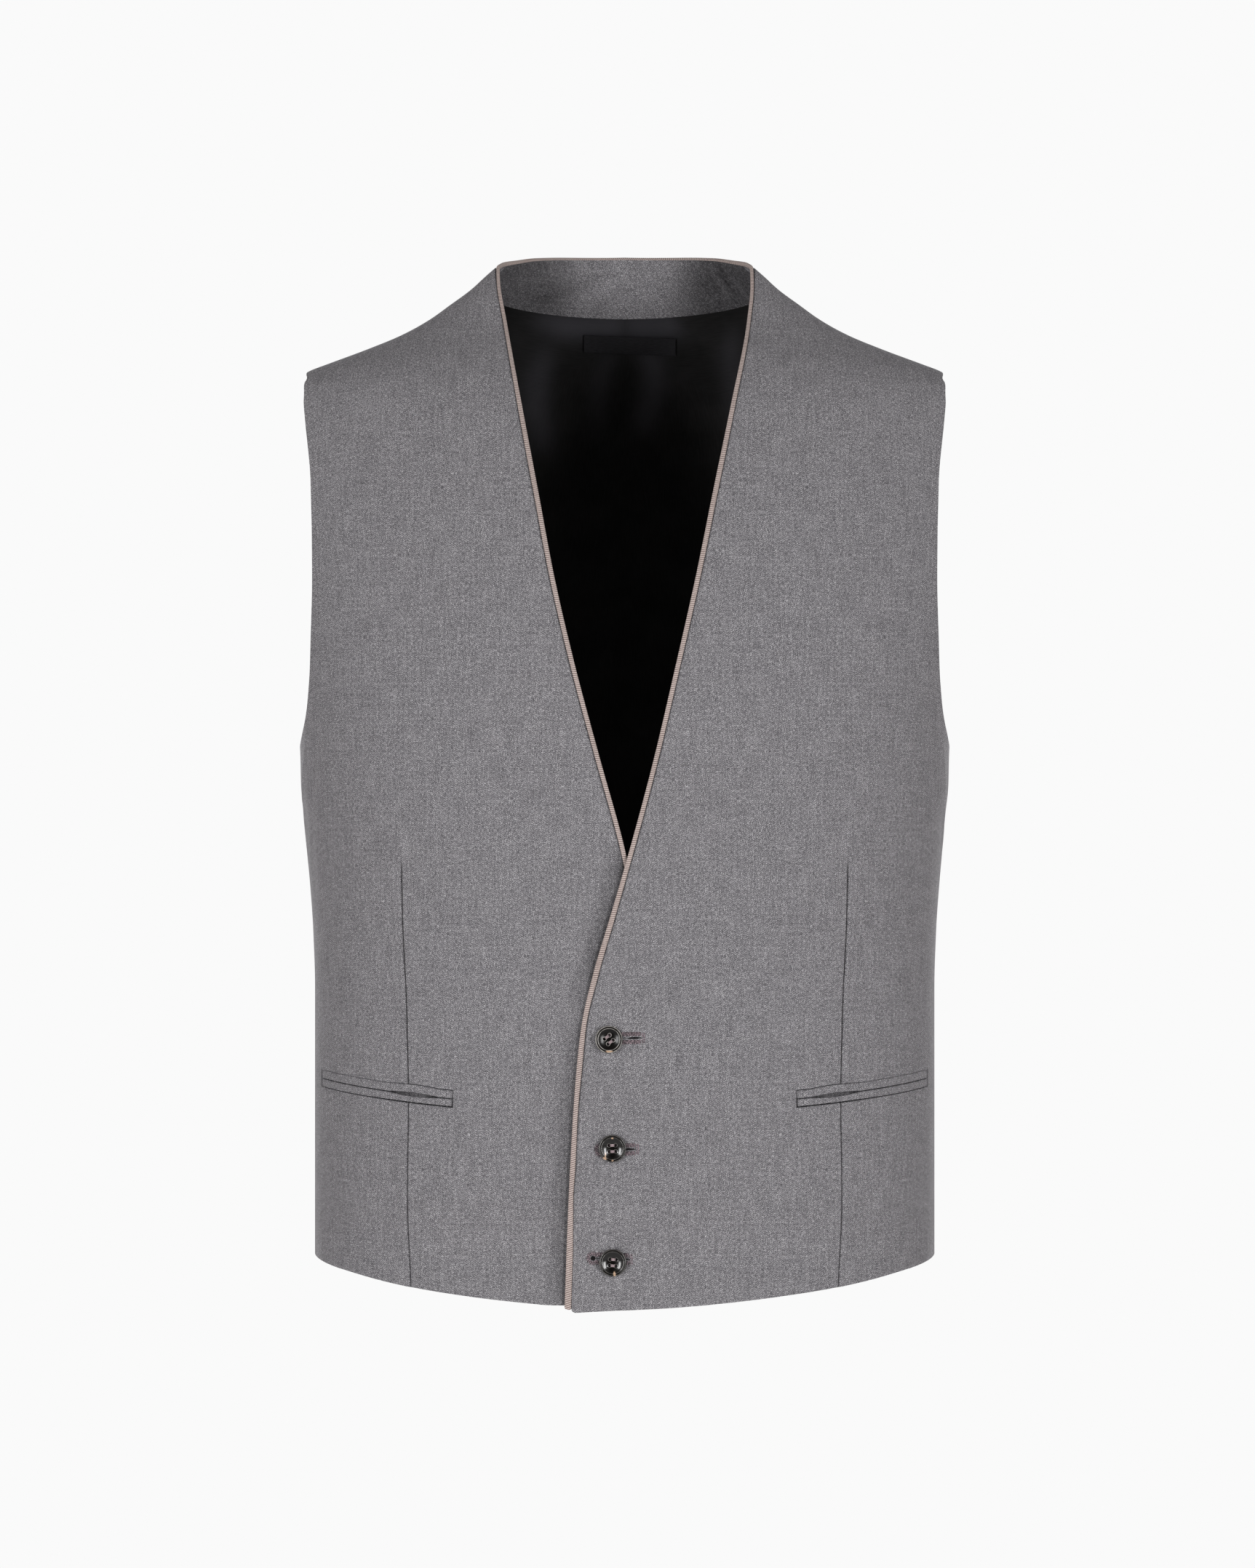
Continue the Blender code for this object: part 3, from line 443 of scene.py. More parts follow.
half_width, front_depth, back_depth, front_square, back_square = table_curves(
    FIGURE_COLUMNS, FIGURE
).values()
hem_level = table_curves(HEM_COLUMNS, HEM)["level"]
neck_top_level = table_curves(NECK_TOP_COLUMNS, NECK_TOP)["level"]
dart_across = table_curves(DART_COLUMNS, DART)["across"]
ribbon_share = table_curves(PIPING_SHOWN_COLUMNS, PIPING_SHOWN)["share"]
lap_shade = table_curves(LAP_SHADE_COLUMNS, LAP_SHADE)
EDGE_ACROSS = table_curves(FRONT_EDGE_COLUMNS, FRONT_EDGE)
TOP_LEVEL = FIGURE[0][0]
BOTTOM_LEVEL = FIGURE[-1][0]
SIDE_BEHIND = SIDE_SEAM_BACK - JOIN_GAP / 2
SHOULDER_BEHIND = SHOULDER_SEAM_BACK - JOIN_GAP / 2
NECK_POINT_TURN = 0.12  # how far back the shoulder seam meets the neck edge


def half_section(front, level):
    """The depth and squareness of the figure's front half, or of its back half, at a level."""
    depth = np.where(front, front_depth(level), back_depth(level))
    return depth, np.where(front, front_square(level), back_square(level))


def surface(turn, level):
    """The figure's points (x, y, z) at these turns and levels, on the wearer's left side."""
    turn, level = np.broadcast_arrays(np.asarray(turn, float), np.asarray(level, float))
    depth, square = half_section(turn >= 0, level)
    cosine, sine = np.cos(turn * math.pi / 2), np.abs(np.sin(turn * math.pi / 2))
    across = half_width(level) * np.sign(cosine) * np.abs(cosine) ** (2 / square)
    behind = np.where(turn >= 0, -depth, depth) * sine ** (2 / square)
    return np.stack((across, behind, level), axis=-1)


def outward(turn, level, step=0.004):
    """The figure's unit normals, found from the surface a little way to each side."""
    level = np.clip(level, BOTTOM_LEVEL + 1, TOP_LEVEL - 1)
    round_it = surface(turn + step, level) - surface(turn - step, level)
    up_it = surface(turn, level + 1) - surface(turn, level - 1)
    return unit(np.cross(up_it, round_it))


def turn_at(points):
    """The turns of points on or near the figure."""
    across, behind, level = np.moveaxis(points, -1, 0)
    depth, square = half_section(behind < 0, level)
    ratio = across / half_width(level)
    cosine = np.sign(ratio) * np.abs(ratio) ** (square / 2)
    sine = np.abs(behind / depth) ** (square / 2)
    turn = np.arctan2(sine, cosine) * 2 / math.pi
    return np.where(behind < 0, turn, -turn)


def turn_behind(behind, level):
    """The turns where the surface is this far behind the side line (negative: in front)."""
    behind, level = np.broadcast_arrays(np.asarray(behind, float), np.asarray(level, float))
    depth, square = half_section(behind < 0, level)
    share = np.minimum(np.abs(behind / depth), 1.0)
    turn = np.arcsin(share ** (square / 2)) * 2 / math.pi
    return np.where(behind < 0, turn, -turn)


def front_turn(across, level):
    """The turns of points on the front half that are this far from the centre line."""
    ratio = across / half_width(level)
    cosine = np.sign(ratio) * np.abs(ratio) ** (front_square(level) / 2)
    return np.arccos(np.clip(cosine, -1.0, 1.0)) * 2 / math.pi


def back_turn(across, level):
    """The turns of points on the back half; across is below zero on the wearer's right."""
    cosine = np.abs(across / half_width(level)) ** (back_square(level) / 2)
    turn = -np.arccos(np.minimum(cosine, 1.0)) * 2 / math.pi
    return np.where(np.asarray(across) >= 0, turn, -2.0 - turn)


# Distances round the cloth from the centre front, looked up from a table of the figure.
ARC_LEVELS = np.linspace(BOTTOM_LEVEL, TOP_LEVEL, 155)
ARC_TURNS = np.linspace(-1.05, 1.35, 1600)


def arc_table():
    ring = surface(ARC_TURNS[None, :], ARC_LEVELS[:, None])
    steps = np.linalg.norm(np.diff(ring, axis=1), axis=2)
    arcs = np.concatenate((np.zeros((len(ARC_LEVELS), 1)), np.cumsum(steps, axis=1)), axis=1)
    centre = np.array([np.interp(1.0, ARC_TURNS, row) for row in arcs])
    return centre[:, None] - arcs


ARCS = arc_table()
ARC_STEPS = np.linspace(ARCS.min(), ARCS.max(), 1600)
TURNS_OF_ARCS = np.array([np.interp(ARC_STEPS, row[::-1], ARC_TURNS[::-1]) for row in ARCS])


def looked_up(table, columns, value, level):
    """The table's value between its rows (levels) and its evenly spaced columns."""
    value, level = np.broadcast_arrays(np.asarray(value, float), np.asarray(level, float))
    across = np.clip((value - columns[0]) / (columns[1] - columns[0]), 0, len(columns) - 1.001)
    up = (level - ARC_LEVELS[0]) / (ARC_LEVELS[1] - ARC_LEVELS[0])
    up = np.clip(up, 0, len(ARC_LEVELS) - 1.001)
    i, j = up.astype(int), across.astype(int)
    u, a = up - i, across - j
    low = table[i, j] * (1 - a) + table[i, j + 1] * a
    high = table[i + 1, j] * (1 - a) + table[i + 1, j + 1] * a
    return low * (1 - u) + high * u


def arc(turn, level):
    """How far round the cloth a turn is from the centre front, in mm."""
    return looked_up(ARCS, ARC_TURNS, turn, level)


def turn_of_arc(distance, level):
    return looked_up(TURNS_OF_ARCS, ARC_STEPS, distance, level)


def front_hem_level(front, turn):
    if front == "left_front":
        return hem_level(turn) - CORNER_DROP * smoothstep((turn - 0.97) / 0.13)
    covered = smoothstep((turn - 0.88) / 0.1)
    return hem_level(1 - np.abs(1 - turn)) + UNDER_LAP_RISE * covered


LAP_FROM = (92.0, 50.0)  # across: where the lap begins to lift, and over what width
LAP_DOWN_FROM = (-268.0, 55.0)  # level


def lap_lift(turn, level):
    """How far the left front rides out over the right one near the closing."""
    across = surface(turn, level)[..., 0]
    over = smoothstep((LAP_FROM[0] - across) / LAP_FROM[1])
    return LAP_LIFT * over * smoothstep((LAP_DOWN_FROM[0] - level) / LAP_DOWN_FROM[1])


def relief(turn, level, folds):
    """Sum of the given folds at these places, in mm out of the figure."""
    points = surface(turn, level)
    total = np.zeros(points.shape[:-1])
    for height, half, places in folds:
        path = rounded_path(places, 6)
        line = surface(path[:, 0], path[:, 1])
        nearest = np.full(total.shape, np.inf)
        along = np.zeros(total.shape)
        for k, (start, end) in enumerate(zip(line, line[1:])):
            run = end - start
            share = np.clip((points - start) @ run / (run @ run), 0, 1)
            distance = np.linalg.norm(points - start - share[..., None] * run, axis=-1)
            closer = distance < nearest
            nearest = np.where(closer, distance, nearest)
            along = np.where(closer, (k + share) / (len(line) - 1), along)
        ends = smoothstep(along / 0.35) * smoothstep((1 - along) / 0.35)
        total += height * bell(nearest, half) * ends
    return total


FRONT_FOLDS = {"left_front": LEFT_FRONT_FOLDS, "right_front": RIGHT_FRONT_FOLDS}


def front_lift(front, turn, level):
    """How far a front's cloth stands off the figure, without its seams."""
    lift = relief(turn, level, FRONT_FOLDS[front])
    return lift + lap_lift(turn, level) if front == "left_front" else lift


# ---------------------------------------------------------------- edges


def front_edge_places(front, count):
    """Places up a front's free edge, from the hem over the neck point to the shoulder seam."""
    edge = EDGE_ACROSS[front]
    hem_turn = front_turn(edge(FRONT_EDGE[0][0]), FRONT_EDGE[0][0])
    levels = np.concatenate(
        (np.linspace(front_hem_level(front, hem_turn), -40.0, 620), np.linspace(-39.0, 4.0, 60))
    )
    path = np.stack((front_turn(edge(levels), levels), levels), axis=1)
    seam_turn = turn_behind(SHOULDER_BEHIND, neck_top_level(NECK_POINT_TURN))
    turns = np.linspace(0.0, seam_turn, 5)
    over = np.stack((turns, neck_top_level(-turns)), axis=1)
    return even_points(np.vstack((path, over)), count, surface)


def neck_edge_places(count):
    """Places along the top of the neck band, from shoulder seam to shoulder seam."""
    seam_turn = turn_behind(SHOULDER_SEAM_BACK + JOIN_GAP / 2, neck_top_level(NECK_POINT_TURN))
    turns = np.linspace(seam_turn, CENTRE_BACK, 40)
    left = even_points(np.stack((turns, neck_top_level(-turns)), axis=1), count // 2, surface)
    right = left[-2::-1] * (-1, 1) + (-2.0, 0.0)
    return np.vstack((left, right))


def evened(vectors, spread=9):
    """Unit vectors along an edge, each one averaged with its neighbours."""
    weights = np.hanning(2 * spread + 3)[1:-1]
    padded = np.pad(vectors, ((spread, spread), (0, 0)), mode="edge")
    return unit(np.stack([np.convolve(c, weights, mode="valid") for c in padded.T], axis=1))


def edge_frames(places, lift=0.0, inner_hint=(-0.02, -1.0)):
    """Along an edge: its points, the outward normals and the ways into the cloth."""
    turn, level = places.T
    normal = evened(outward(turn, level))
    point = surface(turn, level) + normal * np.broadcast_to(lift, turn.shape)[:, None]
    after = np.vstack((point[1:], point[-1:]))
    before = np.vstack((point[:1], point[:-1]))
    inner = unit(np.cross(normal, unit(after - before)))
    hint = surface(turn + inner_hint[0], level + inner_hint[1]) - surface(turn, level)
    inner *= np.where(np.sum(inner * hint, axis=1) < 0, -1.0, 1.0)[:, None]
    return point, normal, evened(inner)


def inset_path(places, distance, inner_hint=(-0.02, -1.0)):
    """Places a distance inside an edge, measured on the figure."""
    point, _, inner = edge_frames(places, inner_hint=inner_hint)
    moved = point + inner * np.broadcast_to(distance, len(point))[:, None]
    return np.stack((turn_at(moved), moved[:, 2]), axis=1)


def armhole_places(points, count, behind, shoulder_behind):
    """Places up an armhole, from the side seam to the shoulder seam."""
    on_cloth = lambda b, level: surface(turn_behind(b, level), level)
    even = even_points(rounded_path(points), count, on_cloth)
    even[0, 0], even[-1, 0] = behind, shoulder_behind
    return np.stack((turn_behind(even[:, 0], even[:, 1]), even[:, 1]), axis=1)


def coons(left, right, bottom, top, across):
    """A grid inside four edges. across has the share of the way over for each column."""
    up = np.linspace(0, 1, len(left))[:, None, None]
    over = np.asarray(across)[None, :, None]
    left, right, bottom, top = left[:, None], right[:, None], bottom[None], top[None]
    sides = left * (1 - over) + right * over
    ends = bottom * (1 - up) + top * up
    low = bottom[:, :1] * (1 - over) + bottom[:, -1:] * over
    high = top[:, :1] * (1 - over) + top[:, -1:] * over
    return sides + ends - (low * (1 - up) + high * up)


def below_and_above(lower, left, armhole, behind, shoulder, across):
    """A panel's whole grid: its lower part, and the part between its inner edge, its armhole and
    its shoulder seam."""
    bottom = lower[-1]
    right = armhole_places(armhole, len(left) - 1, behind, shoulder)
    right[0] = bottom[-1]
    seam_levels = left[-1, 1] * (1 - across) + right[-1, 1] * across
    top = np.stack((turn_behind(shoulder, seam_levels), seam_levels), axis=1)
    upper = coons(left, right, bottom, top, across)
    return np.concatenate((lower, upper[1:]), axis=0)


# ---------------------------------------------------------------- meshes


def grid_bmesh(points, uv, seam=None):
    """A grid of points (rows, columns, 3) with a UV map in mm and a seam mark at each point,
    which the worsted shows as painted shade and the lining as painted gleams.
    """
    rows, columns = points.shape[:2]
    bm = bmesh.new()
    bmesh.ops.create_grid(bm, x_segments=columns - 1, y_segments=rows - 1, size=1)
    row_layer = bm.verts.layers.int.new("row")
    column_layer = bm.verts.layers.int.new("column")
    seam_layer = bm.verts.layers.float.new("seam")
    for vert in bm.verts:
        column = round((vert.co.x + 1) / 2 * (columns - 1))
        row = round((vert.co.y + 1) / 2 * (rows - 1))
        vert[row_layer], vert[column_layer] = row, column
        vert.co = points[row, column]
        if seam is not None:
            vert[seam_layer] = seam[row, column]
    uv_layer = bm.loops.layers.uv.new("cloth_mm")
    for face in bm.faces:
        for loop in face.loops:
            loop[uv_layer].uv = uv[loop.vert[row_layer], loop.vert[column_layer]]
    return bm


SHOULDER_SLOPE = (0.42, 60.0)  # rise of the cloth for each mm it runs back, from this far in front


def grain_uv(turn, level):
    """Distances round the body and up the cloth, in mm, so that its threads hang plumb."""
    rise, start = SHOULDER_SLOPE
    run_back = np.maximum(surface(turn, level)[..., 1] + start, 0.0)
    return np.stack((arc(turn, level), level + rise * run_back), axis=-1)


def cloth_uv(points):
    """Distances along the rows and up the columns of a grid, in mm."""
    over = np.linalg.norm(np.diff(points, axis=1), axis=2)
    up = np.linalg.norm(np.diff(points, axis=0), axis=2)
    u = np.concatenate((np.zeros((len(points), 1)), np.cumsum(over, axis=1)), axis=1)
    v = np.concatenate((np.zeros((1, points.shape[1])), np.cumsum(up, axis=0)), axis=0)
    return np.stack((u, v), axis=-1)


def cloth_shell(
    name,
    outer,
    inner,
    uv,
    finishes,
    seam=None,
    inside=None,
    facing=None,
    rim=0.35,
    mirror=False,
    flush=False,
):
    """A thin closed cloth: its outer grid, its inner grid, and a small round on its rim. finishes
    has the outside's material, the inside's, and the facing's where facing[column] says so. seam
    is the outside's seam mark and inside the inside's: painted shade on the worsted and painted
    gleams on the lining. A flush cloth has no round along its first column, which meets its
    neighbour's."""
    bm = grid_bmesh(outer, uv, seam)
    row_layer, column_layer = bm.verts.layers.int["row"], bm.verts.layers.int["column"]
    seam_layer = bm.verts.layers.float["seam"]
    joined = lambda edge: flush and all(vert[column_layer] == 0 for vert in edge.verts)
    rim_edges = [edge for edge in bm.edges if edge.is_boundary and not joined(edge)]
    grown = bmesh.ops.extrude_face_region(bm, geom=bm.faces[:], use_keep_orig=True)["geom"]
    for vert in (g for g in grown if isinstance(g, bmesh.types.BMVert)):
        place = vert[row_layer], vert[column_layer]
        vert.co = inner[place]
        vert[seam_layer] = 0.0 if inside is None else inside[place]
    for face in (g for g in grown if isinstance(g, bmesh.types.BMFace)):
        column = min(vert[column_layer] for vert in face.verts)
        face.material_index = 2 if facing is not None and facing[column] else 1
    bmesh.ops.recalc_face_normals(bm, faces=bm.faces)
    if rim:
        rounded(bm, rim_edges, rim)
    return finished(name, bm, finishes, mirror)


def swept_bar(name, frames, section, finish, mirror=False, sizes=None, widths=None):
    """A closed bar with this section, in (way into the cloth, outward), along the frames; there
    may be a section for each frame. sizes shrinks it about its middle, and widths stretches it
    into the cloth."""
    point, normal, inner = frames
    shape = np.array(section, float)
    loop = shape + np.zeros((len(point), *shape.shape[-2:]))
    loop = np.concatenate((loop, loop[:, :1]), axis=1)
    sizes = np.ones(len(point)) if sizes is None else sizes
    middle = loop[:, :-1].mean(axis=1, keepdims=True)
    scaled = middle + (loop - middle) * sizes[:, None, None]
    if widths is not None:
        scaled[..., 0] *= widths[:, None]
    points = (
        point[:, None] + inner[:, None] * scaled[:, :, :1] + normal[:, None] * scaled[:, :, 1:]
    )
    uv = cloth_uv(points)[..., ::-1].copy()
    steps = np.linalg.norm(np.diff(point, axis=0), axis=1)
    uv[..., 0] = np.concatenate(([0.0], np.cumsum(steps)))[:, None]
    bm = grid_bmesh(points, uv)
    bmesh.ops.remove_doubles(bm, verts=bm.verts, dist=1e-4)
    bmesh.ops.holes_fill(bm, edges=[edge for edge in bm.edges if edge.is_boundary], sides=0)
    bmesh.ops.recalc_face_normals(bm, faces=bm.faces)
    return finished(name, bm, [finish], mirror)


def rounded(bm, edges, offset, segments=2):
    """Rounds these edges off by an offset in mm."""
    bmesh.ops.bevel(
        bm,
        geom=edges,
        offset=offset,
        affect="EDGES",
        segments=segments,
        profile=0.5,
        material=-1,
        clamp_overlap=True,
    )


def finished(name, bm, finishes, mirror=False, smooth_to=40):
    """Scales a mesh from mm to metres, gives it its materials and makes the named piece."""
    if mirror:
        bmesh.ops.scale(bm, vec=(-1, 1, 1), verts=bm.verts)
        bmesh.ops.reverse_faces(bm, faces=bm.faces)
    bmesh.ops.scale(bm, vec=(MM, MM, MM), verts=bm.verts)
    mesh = bpy.data.meshes.new(name)
    bm.to_mesh(mesh)
    bm.free()
    for finish in finishes:
        mesh.materials.append(finish)
    mesh.shade_smooth()
    mesh.set_sharp_from_angle(angle=math.radians(smooth_to))
    piece = bpy.data.objects.new(name + "_shown", mesh)
    bpy.context.scene.collection.objects.link(piece)
    return piece


def dressed(piece, slot, *nodes):
    """The piece rides on the part and stands for these nodes; slot is not used."""
    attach(piece, "root")
    if nodes:
        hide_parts(*nodes)
    return piece


# ---------------------------------------------------------------- fronts


def fill(count, start, end):
    """Names the grid lines that divide the cloth evenly between two lines."""
    return [(start, end, k / (count + 1)) for k in range(1, count + 1)]


def lines_beside(landmark, offsets):
    return [((landmark, offset), (landmark, offset), 0.0) for offset in offsets]


# Columns of a front: each is a landmark with an offset in mm, or lies between two of them.
FREE_EDGE_OFFSETS = (0.0, 0.25, 0.6, 1.2, 2.4)
POCKET_END_OFFSETS = (-1.8, -0.6, -0.12, 0.12, 0.5, 0.9, 1.3, 2.2)
DART_OFFSETS = (-7.0, -4.4, -2.6, -1.5, -0.8, -0.42, 0.0, 0.42, 0.8, 1.5, 2.6, 4.4, 7.0)
SIDE_OFFSETS = (-2.0, -0.8, -0.3, 0.0)
FRONT_COLUMNS = (
    lines_beside("edge", FREE_EDGE_OFFSETS)
    + fill(44, ("edge", 2.4), ("inner", -1.8))
    + lines_beside("inner", POCKET_END_OFFSETS)
    + fill(5, ("inner", 1.8), ("dart", -7.0))
    + lines_beside("dart", DART_OFFSETS)
    + fill(16, ("dart", 7.0), ("outer", -1.8))
    + lines_beside("outer", POCKET_END_OFFSETS)
    + fill(26, ("outer", 1.8), ("side", -2.0))
    + lines_beside("side", SIDE_OFFSETS)
)
# Rows from the hem up to the foot of the armhole. A jet landmark is a long edge of the jets'
# recess, which bows out where the mouth gapes.
FRONT_ROWS = (
    lines_beside("hem", (0.0, 0.4, 1.0, 2.4))
    + fill(36, ("hem", 2.4), ("lower jet", -1.8))
    + lines_beside("lower jet", (-1.8, -0.6, -0.12, 0.12, 0.6))
    + fill(3, ("lower jet", 0.6), ("upper jet", -0.6))
    + lines_beside("upper jet", (-0.6, -0.12, 0.12, 0.6, 1.8))
    + fill(66, ("upper jet", 1.8), ("break", 0.0))
    + lines_beside("break", (0.0,))
)
UPPER_ROWS = 118
BREAK_LEVEL = -286.0  # where the last of those rows leaves the free edge


def mouth_opening(share):
    """Height of the pocket's open mouth at a share of its length from the inner end."""
    spread = np.maximum(0.0, 1 - ((share - GAPE_CENTRE) / GAPE_HALF_LENGTH) ** 2)
    return MOUTH_CLOSED + (MOUTH_GAPE - MOUTH_CLOSED) * spread


def pocket_share(turn, level):
    """Share of the pocket's length, measured straight across the front from its inner end."""
    across = surface(turn, level)[..., 0]
    return (across - POCKET_INNER[0]) / (POCKET_OUTER[0] - POCKET_INNER[0])


def pocket_level(share):
    """Level of the pocket's mouth, drawn on past its ends."""
    share = np.clip(share, -0.4, 1.06)
    sag = POCKET_SAG * np.maximum(4 * share * (1 - share), 0.0)
    return POCKET_INNER[1] + (POCKET_OUTER[1] - POCKET_INNER[1]) * share - sag


def jets_reach(share):
    """How far the jets reach below the mouth's middle and above it. The gape narrows the lower."""
    opening = mouth_opening(share) / 2
    return JET_WIDTH + MOUTH_CLOSED / 2 + 0 * opening, JET_WIDTH + opening


def lower_front_grid(front, edge_path):
    """Places (turn, level) of a front below the armhole, with lines on its dart and pocket."""
    order = np.argsort(edge_path[:, 1])
    landmarks = {
        "edge": lambda z: arc(np.interp(z, edge_path[order, 1], edge_path[order, 0]), z),
        "inner": lambda z: arc(front_turn(POCKET_INNER[0], z), z),
        "dart": lambda z: arc(front_turn(dart_across(z), z), z),
        "outer": lambda z: arc(front_turn(POCKET_OUTER[0], z), z),
        "side": lambda z: arc(turn_behind(SIDE_BEHIND, z), z),
    }
    columns, rows = len(FRONT_COLUMNS), len(FRONT_ROWS)
    across = np.linspace(0, 1, columns)
    level = np.linspace(-575.0, -280.0, rows)[:, None] + np.zeros((1, columns))
    for _ in range(6):
        distance = np.zeros((rows, columns))
        for c, ((here, offset), (there, offset_there), share) in enumerate(FRONT_COLUMNS):
            start = landmarks[here](level[:, c]) + offset
            end = landmarks[there](level[:, c]) + offset_there
            distance[:, c] = start * (1 - share) + end * share
        turn = turn_of_arc(distance, level)
        from_edge = distance - distance[:, :1]
        share_in = pocket_share(turn, level)
        below, above = jets_reach(share_in)
        heights = {
            "hem": front_hem_level(front, turn),
            "lower jet": pocket_level(share_in) - below,
            "upper jet": pocket_level(share_in) + above,
            "break": BREAK_LEVEL + (ARMHOLE_FRONT[0][1] - BREAK_LEVEL) * across**3 + 0 * turn,
        }
        if front == "left_front":
            short = np.maximum(CORNER_RADIUS - from_edge, 0.0)
            cut = CORNER_RADIUS - np.sqrt(np.maximum(CORNER_RADIUS**2 - short**2, 0.0))
            heights["hem"] = heights["hem"] + cut
        for r, ((here, offset), (there, offset_there), share) in enumerate(FRONT_ROWS):
            start = heights[here][r] + offset
            end = heights[there][r] + offset_there
            level[r] = start * (1 - share) + end * share
    turn[:, -1] = turn_behind(SIDE_BEHIND, level[:, -1])
    return np.stack((turn, level), axis=-1)


def front_grid(front):
    """Places (turn, level) of a whole front, from the hem to the shoulder seam."""
    edge = front_edge_places(front, 420)
    edge_path = inset_path(edge, PIPING_WIDTH * ribbon_share(edge[:, 1]) + JOIN_GAP)
    edge_path[-1] = (turn_behind(SHOULDER_BEHIND, edge_path[-1, 1]), edge_path[-1, 1])
    lower = lower_front_grid(front, edge_path)
    bottom = lower[-1]
    above = edge_path[edge_path[:, 1] > bottom[0, 1] + 0.5]
    left = even_points(np.vstack((bottom[:1], above)), UPPER_ROWS, surface, 1.15)
    distance = arc(bottom[:, 0], bottom[:, 1])
    across = (distance - distance[0]) / (distance[-1] - distance[0])
    return below_and_above(lower, left, ARMHOLE_FRONT, SIDE_BEHIND, SHOULDER_BEHIND, across)


def front_seams_and_shade(grid):
    """How deep the seams press a front in, and the shade painted in and beside them, at each place
    of its grid.
    """
    turn, level = grid[..., 0], grid[..., 1]
    distance = arc(turn, level)
    # the recess that the pocket's jets lie in
    share = pocket_share(turn, level)
    below, above = jets_reach(share)
    from_mouth = level - pocket_level(share)
    inner = distance - arc(front_turn(POCKET_INNER[0], level), level)
    outer = distance - arc(front_turn(POCKET_OUTER[0], level), level)
    low, high = np.minimum(inner, outer), np.maximum(inner, outer)
    inside = np.minimum(-low, high)
    inside = np.where((low < 0) & (high > 0), inside, -np.minimum(np.abs(inner), np.abs(outer)))
    inside = np.minimum(inside, np.minimum(above - from_mouth, below + from_mouth))
    recess = smoothstep((inside + 0.1) / 0.2)
    rolled = soft_bump(np.minimum(inside + 0.1, 0), RECESS_ROLL) * (1 - recess)
    # the dart, a stitched line that the cloth sinks into
    beside = arc(front_turn(dart_across(level), level), level) - distance
    ends = smoothstep((DART[0][0] - level + 6.0) / DART_FADE)
    line = ends * bell(beside, DART_HALF)
    swell = ends * soft_bump(beside, DART_SWELL) * (beside < 3)
    sink = ends * soft_bump(beside, DART_SINK)
    depth = recess * RECESS_DEPTH + rolled + (line * DART_GROOVE + sink - swell) * (1 - recess)
    gape = (mouth_opening(share) - MOUTH_CLOSED) / (MOUTH_GAPE - MOUTH_CLOSED)
    faint = np.where(from_mouth > above - 1.5, 0.5 * smoothstep(share / 0.6), 0.0)
    in_mouth = gape * (np.abs(from_mouth) < 2.0)
    # painted shade in the recess under the jets, less where the mouth gapes and by the upper seam
    recess_painted_shade = recess * (1 - 0.42 * in_mouth) * (1 - faint)
    # painted shade in the dart's groove, fainter below the pocket
    low_down = smoothstep((POCKET_INNER[1] - level) / 8.0)
    painted_shade = np.maximum(recess_painted_shade, (0.95 - 0.25 * low_down) * line)
    # painted shade in the gap at the pocket's outer end
    within = smoothstep((np.minimum(above - from_mouth, below + from_mouth) + 0.3) / 0.4)
    painted_shade = np.maximum(painted_shade, within * soft_bump(outer, POCKET_END_PAINTED_SHADE))
    # the edge that turns in at the ribbon
    over = np.linalg.norm(surface(turn, level) - surface(turn[:, :1], level[:, :1]), axis=-1)
    depth = depth + soft_bump(over, EDGE_ROLL)
    # painted shade in the groove beside the ribbon
    painted_shade = np.maximum(painted_shade, soft_bump(over, EDGE_PAINTED_SHADE))
    return depth, painted_shade


def front(name, worsted, lining):
    """One front: worsted outside, its own facing along the free edge and satin lining inside."""
    grid = front_grid(name)
    turn, level = grid[..., 0], grid[..., 1]
    depth, painted_shade = front_seams_and_shade(grid)
    ground, normal = surface(turn, level), outward(turn, level)
    lift = front_lift(name, turn, level)
    if name == "right_front":  # it lies in the shade of the edge that laps over it
        past = np.maximum(ground[..., 0] + EDGE_ACROSS["left_front"](level), 0.0)
        shade = lap_shade["wide"](level) * np.exp(-((past / 9.0) ** 3))
        painted_shade = np.maximum(painted_shade, shade + lap_shade["near"](level) * bell(past, 2.6))
    flat = ground + normal * lift[..., None]
    outer = flat - normal * depth[..., None]
    folds = np.clip(lift, -1.0, None)
    inner = ground + normal * (np.minimum(folds, 0.0) * 0.6 - FRONT_WALL)[..., None]
    facing = (arc(turn, level)[0] - arc(turn, level)[0, 0]) < FACING_WIDTH
    piece = cloth_shell(
        name,
        outer,
        inner,
        grain_uv(turn, level),
        [worsted, lining, worsted],
        # the seam mark carries the front's painted shade
        seam=painted_shade,
        facing=facing,
        mirror=name == "right_front",
    )
    dressed(piece, "grey_worsted", name)
    return piece


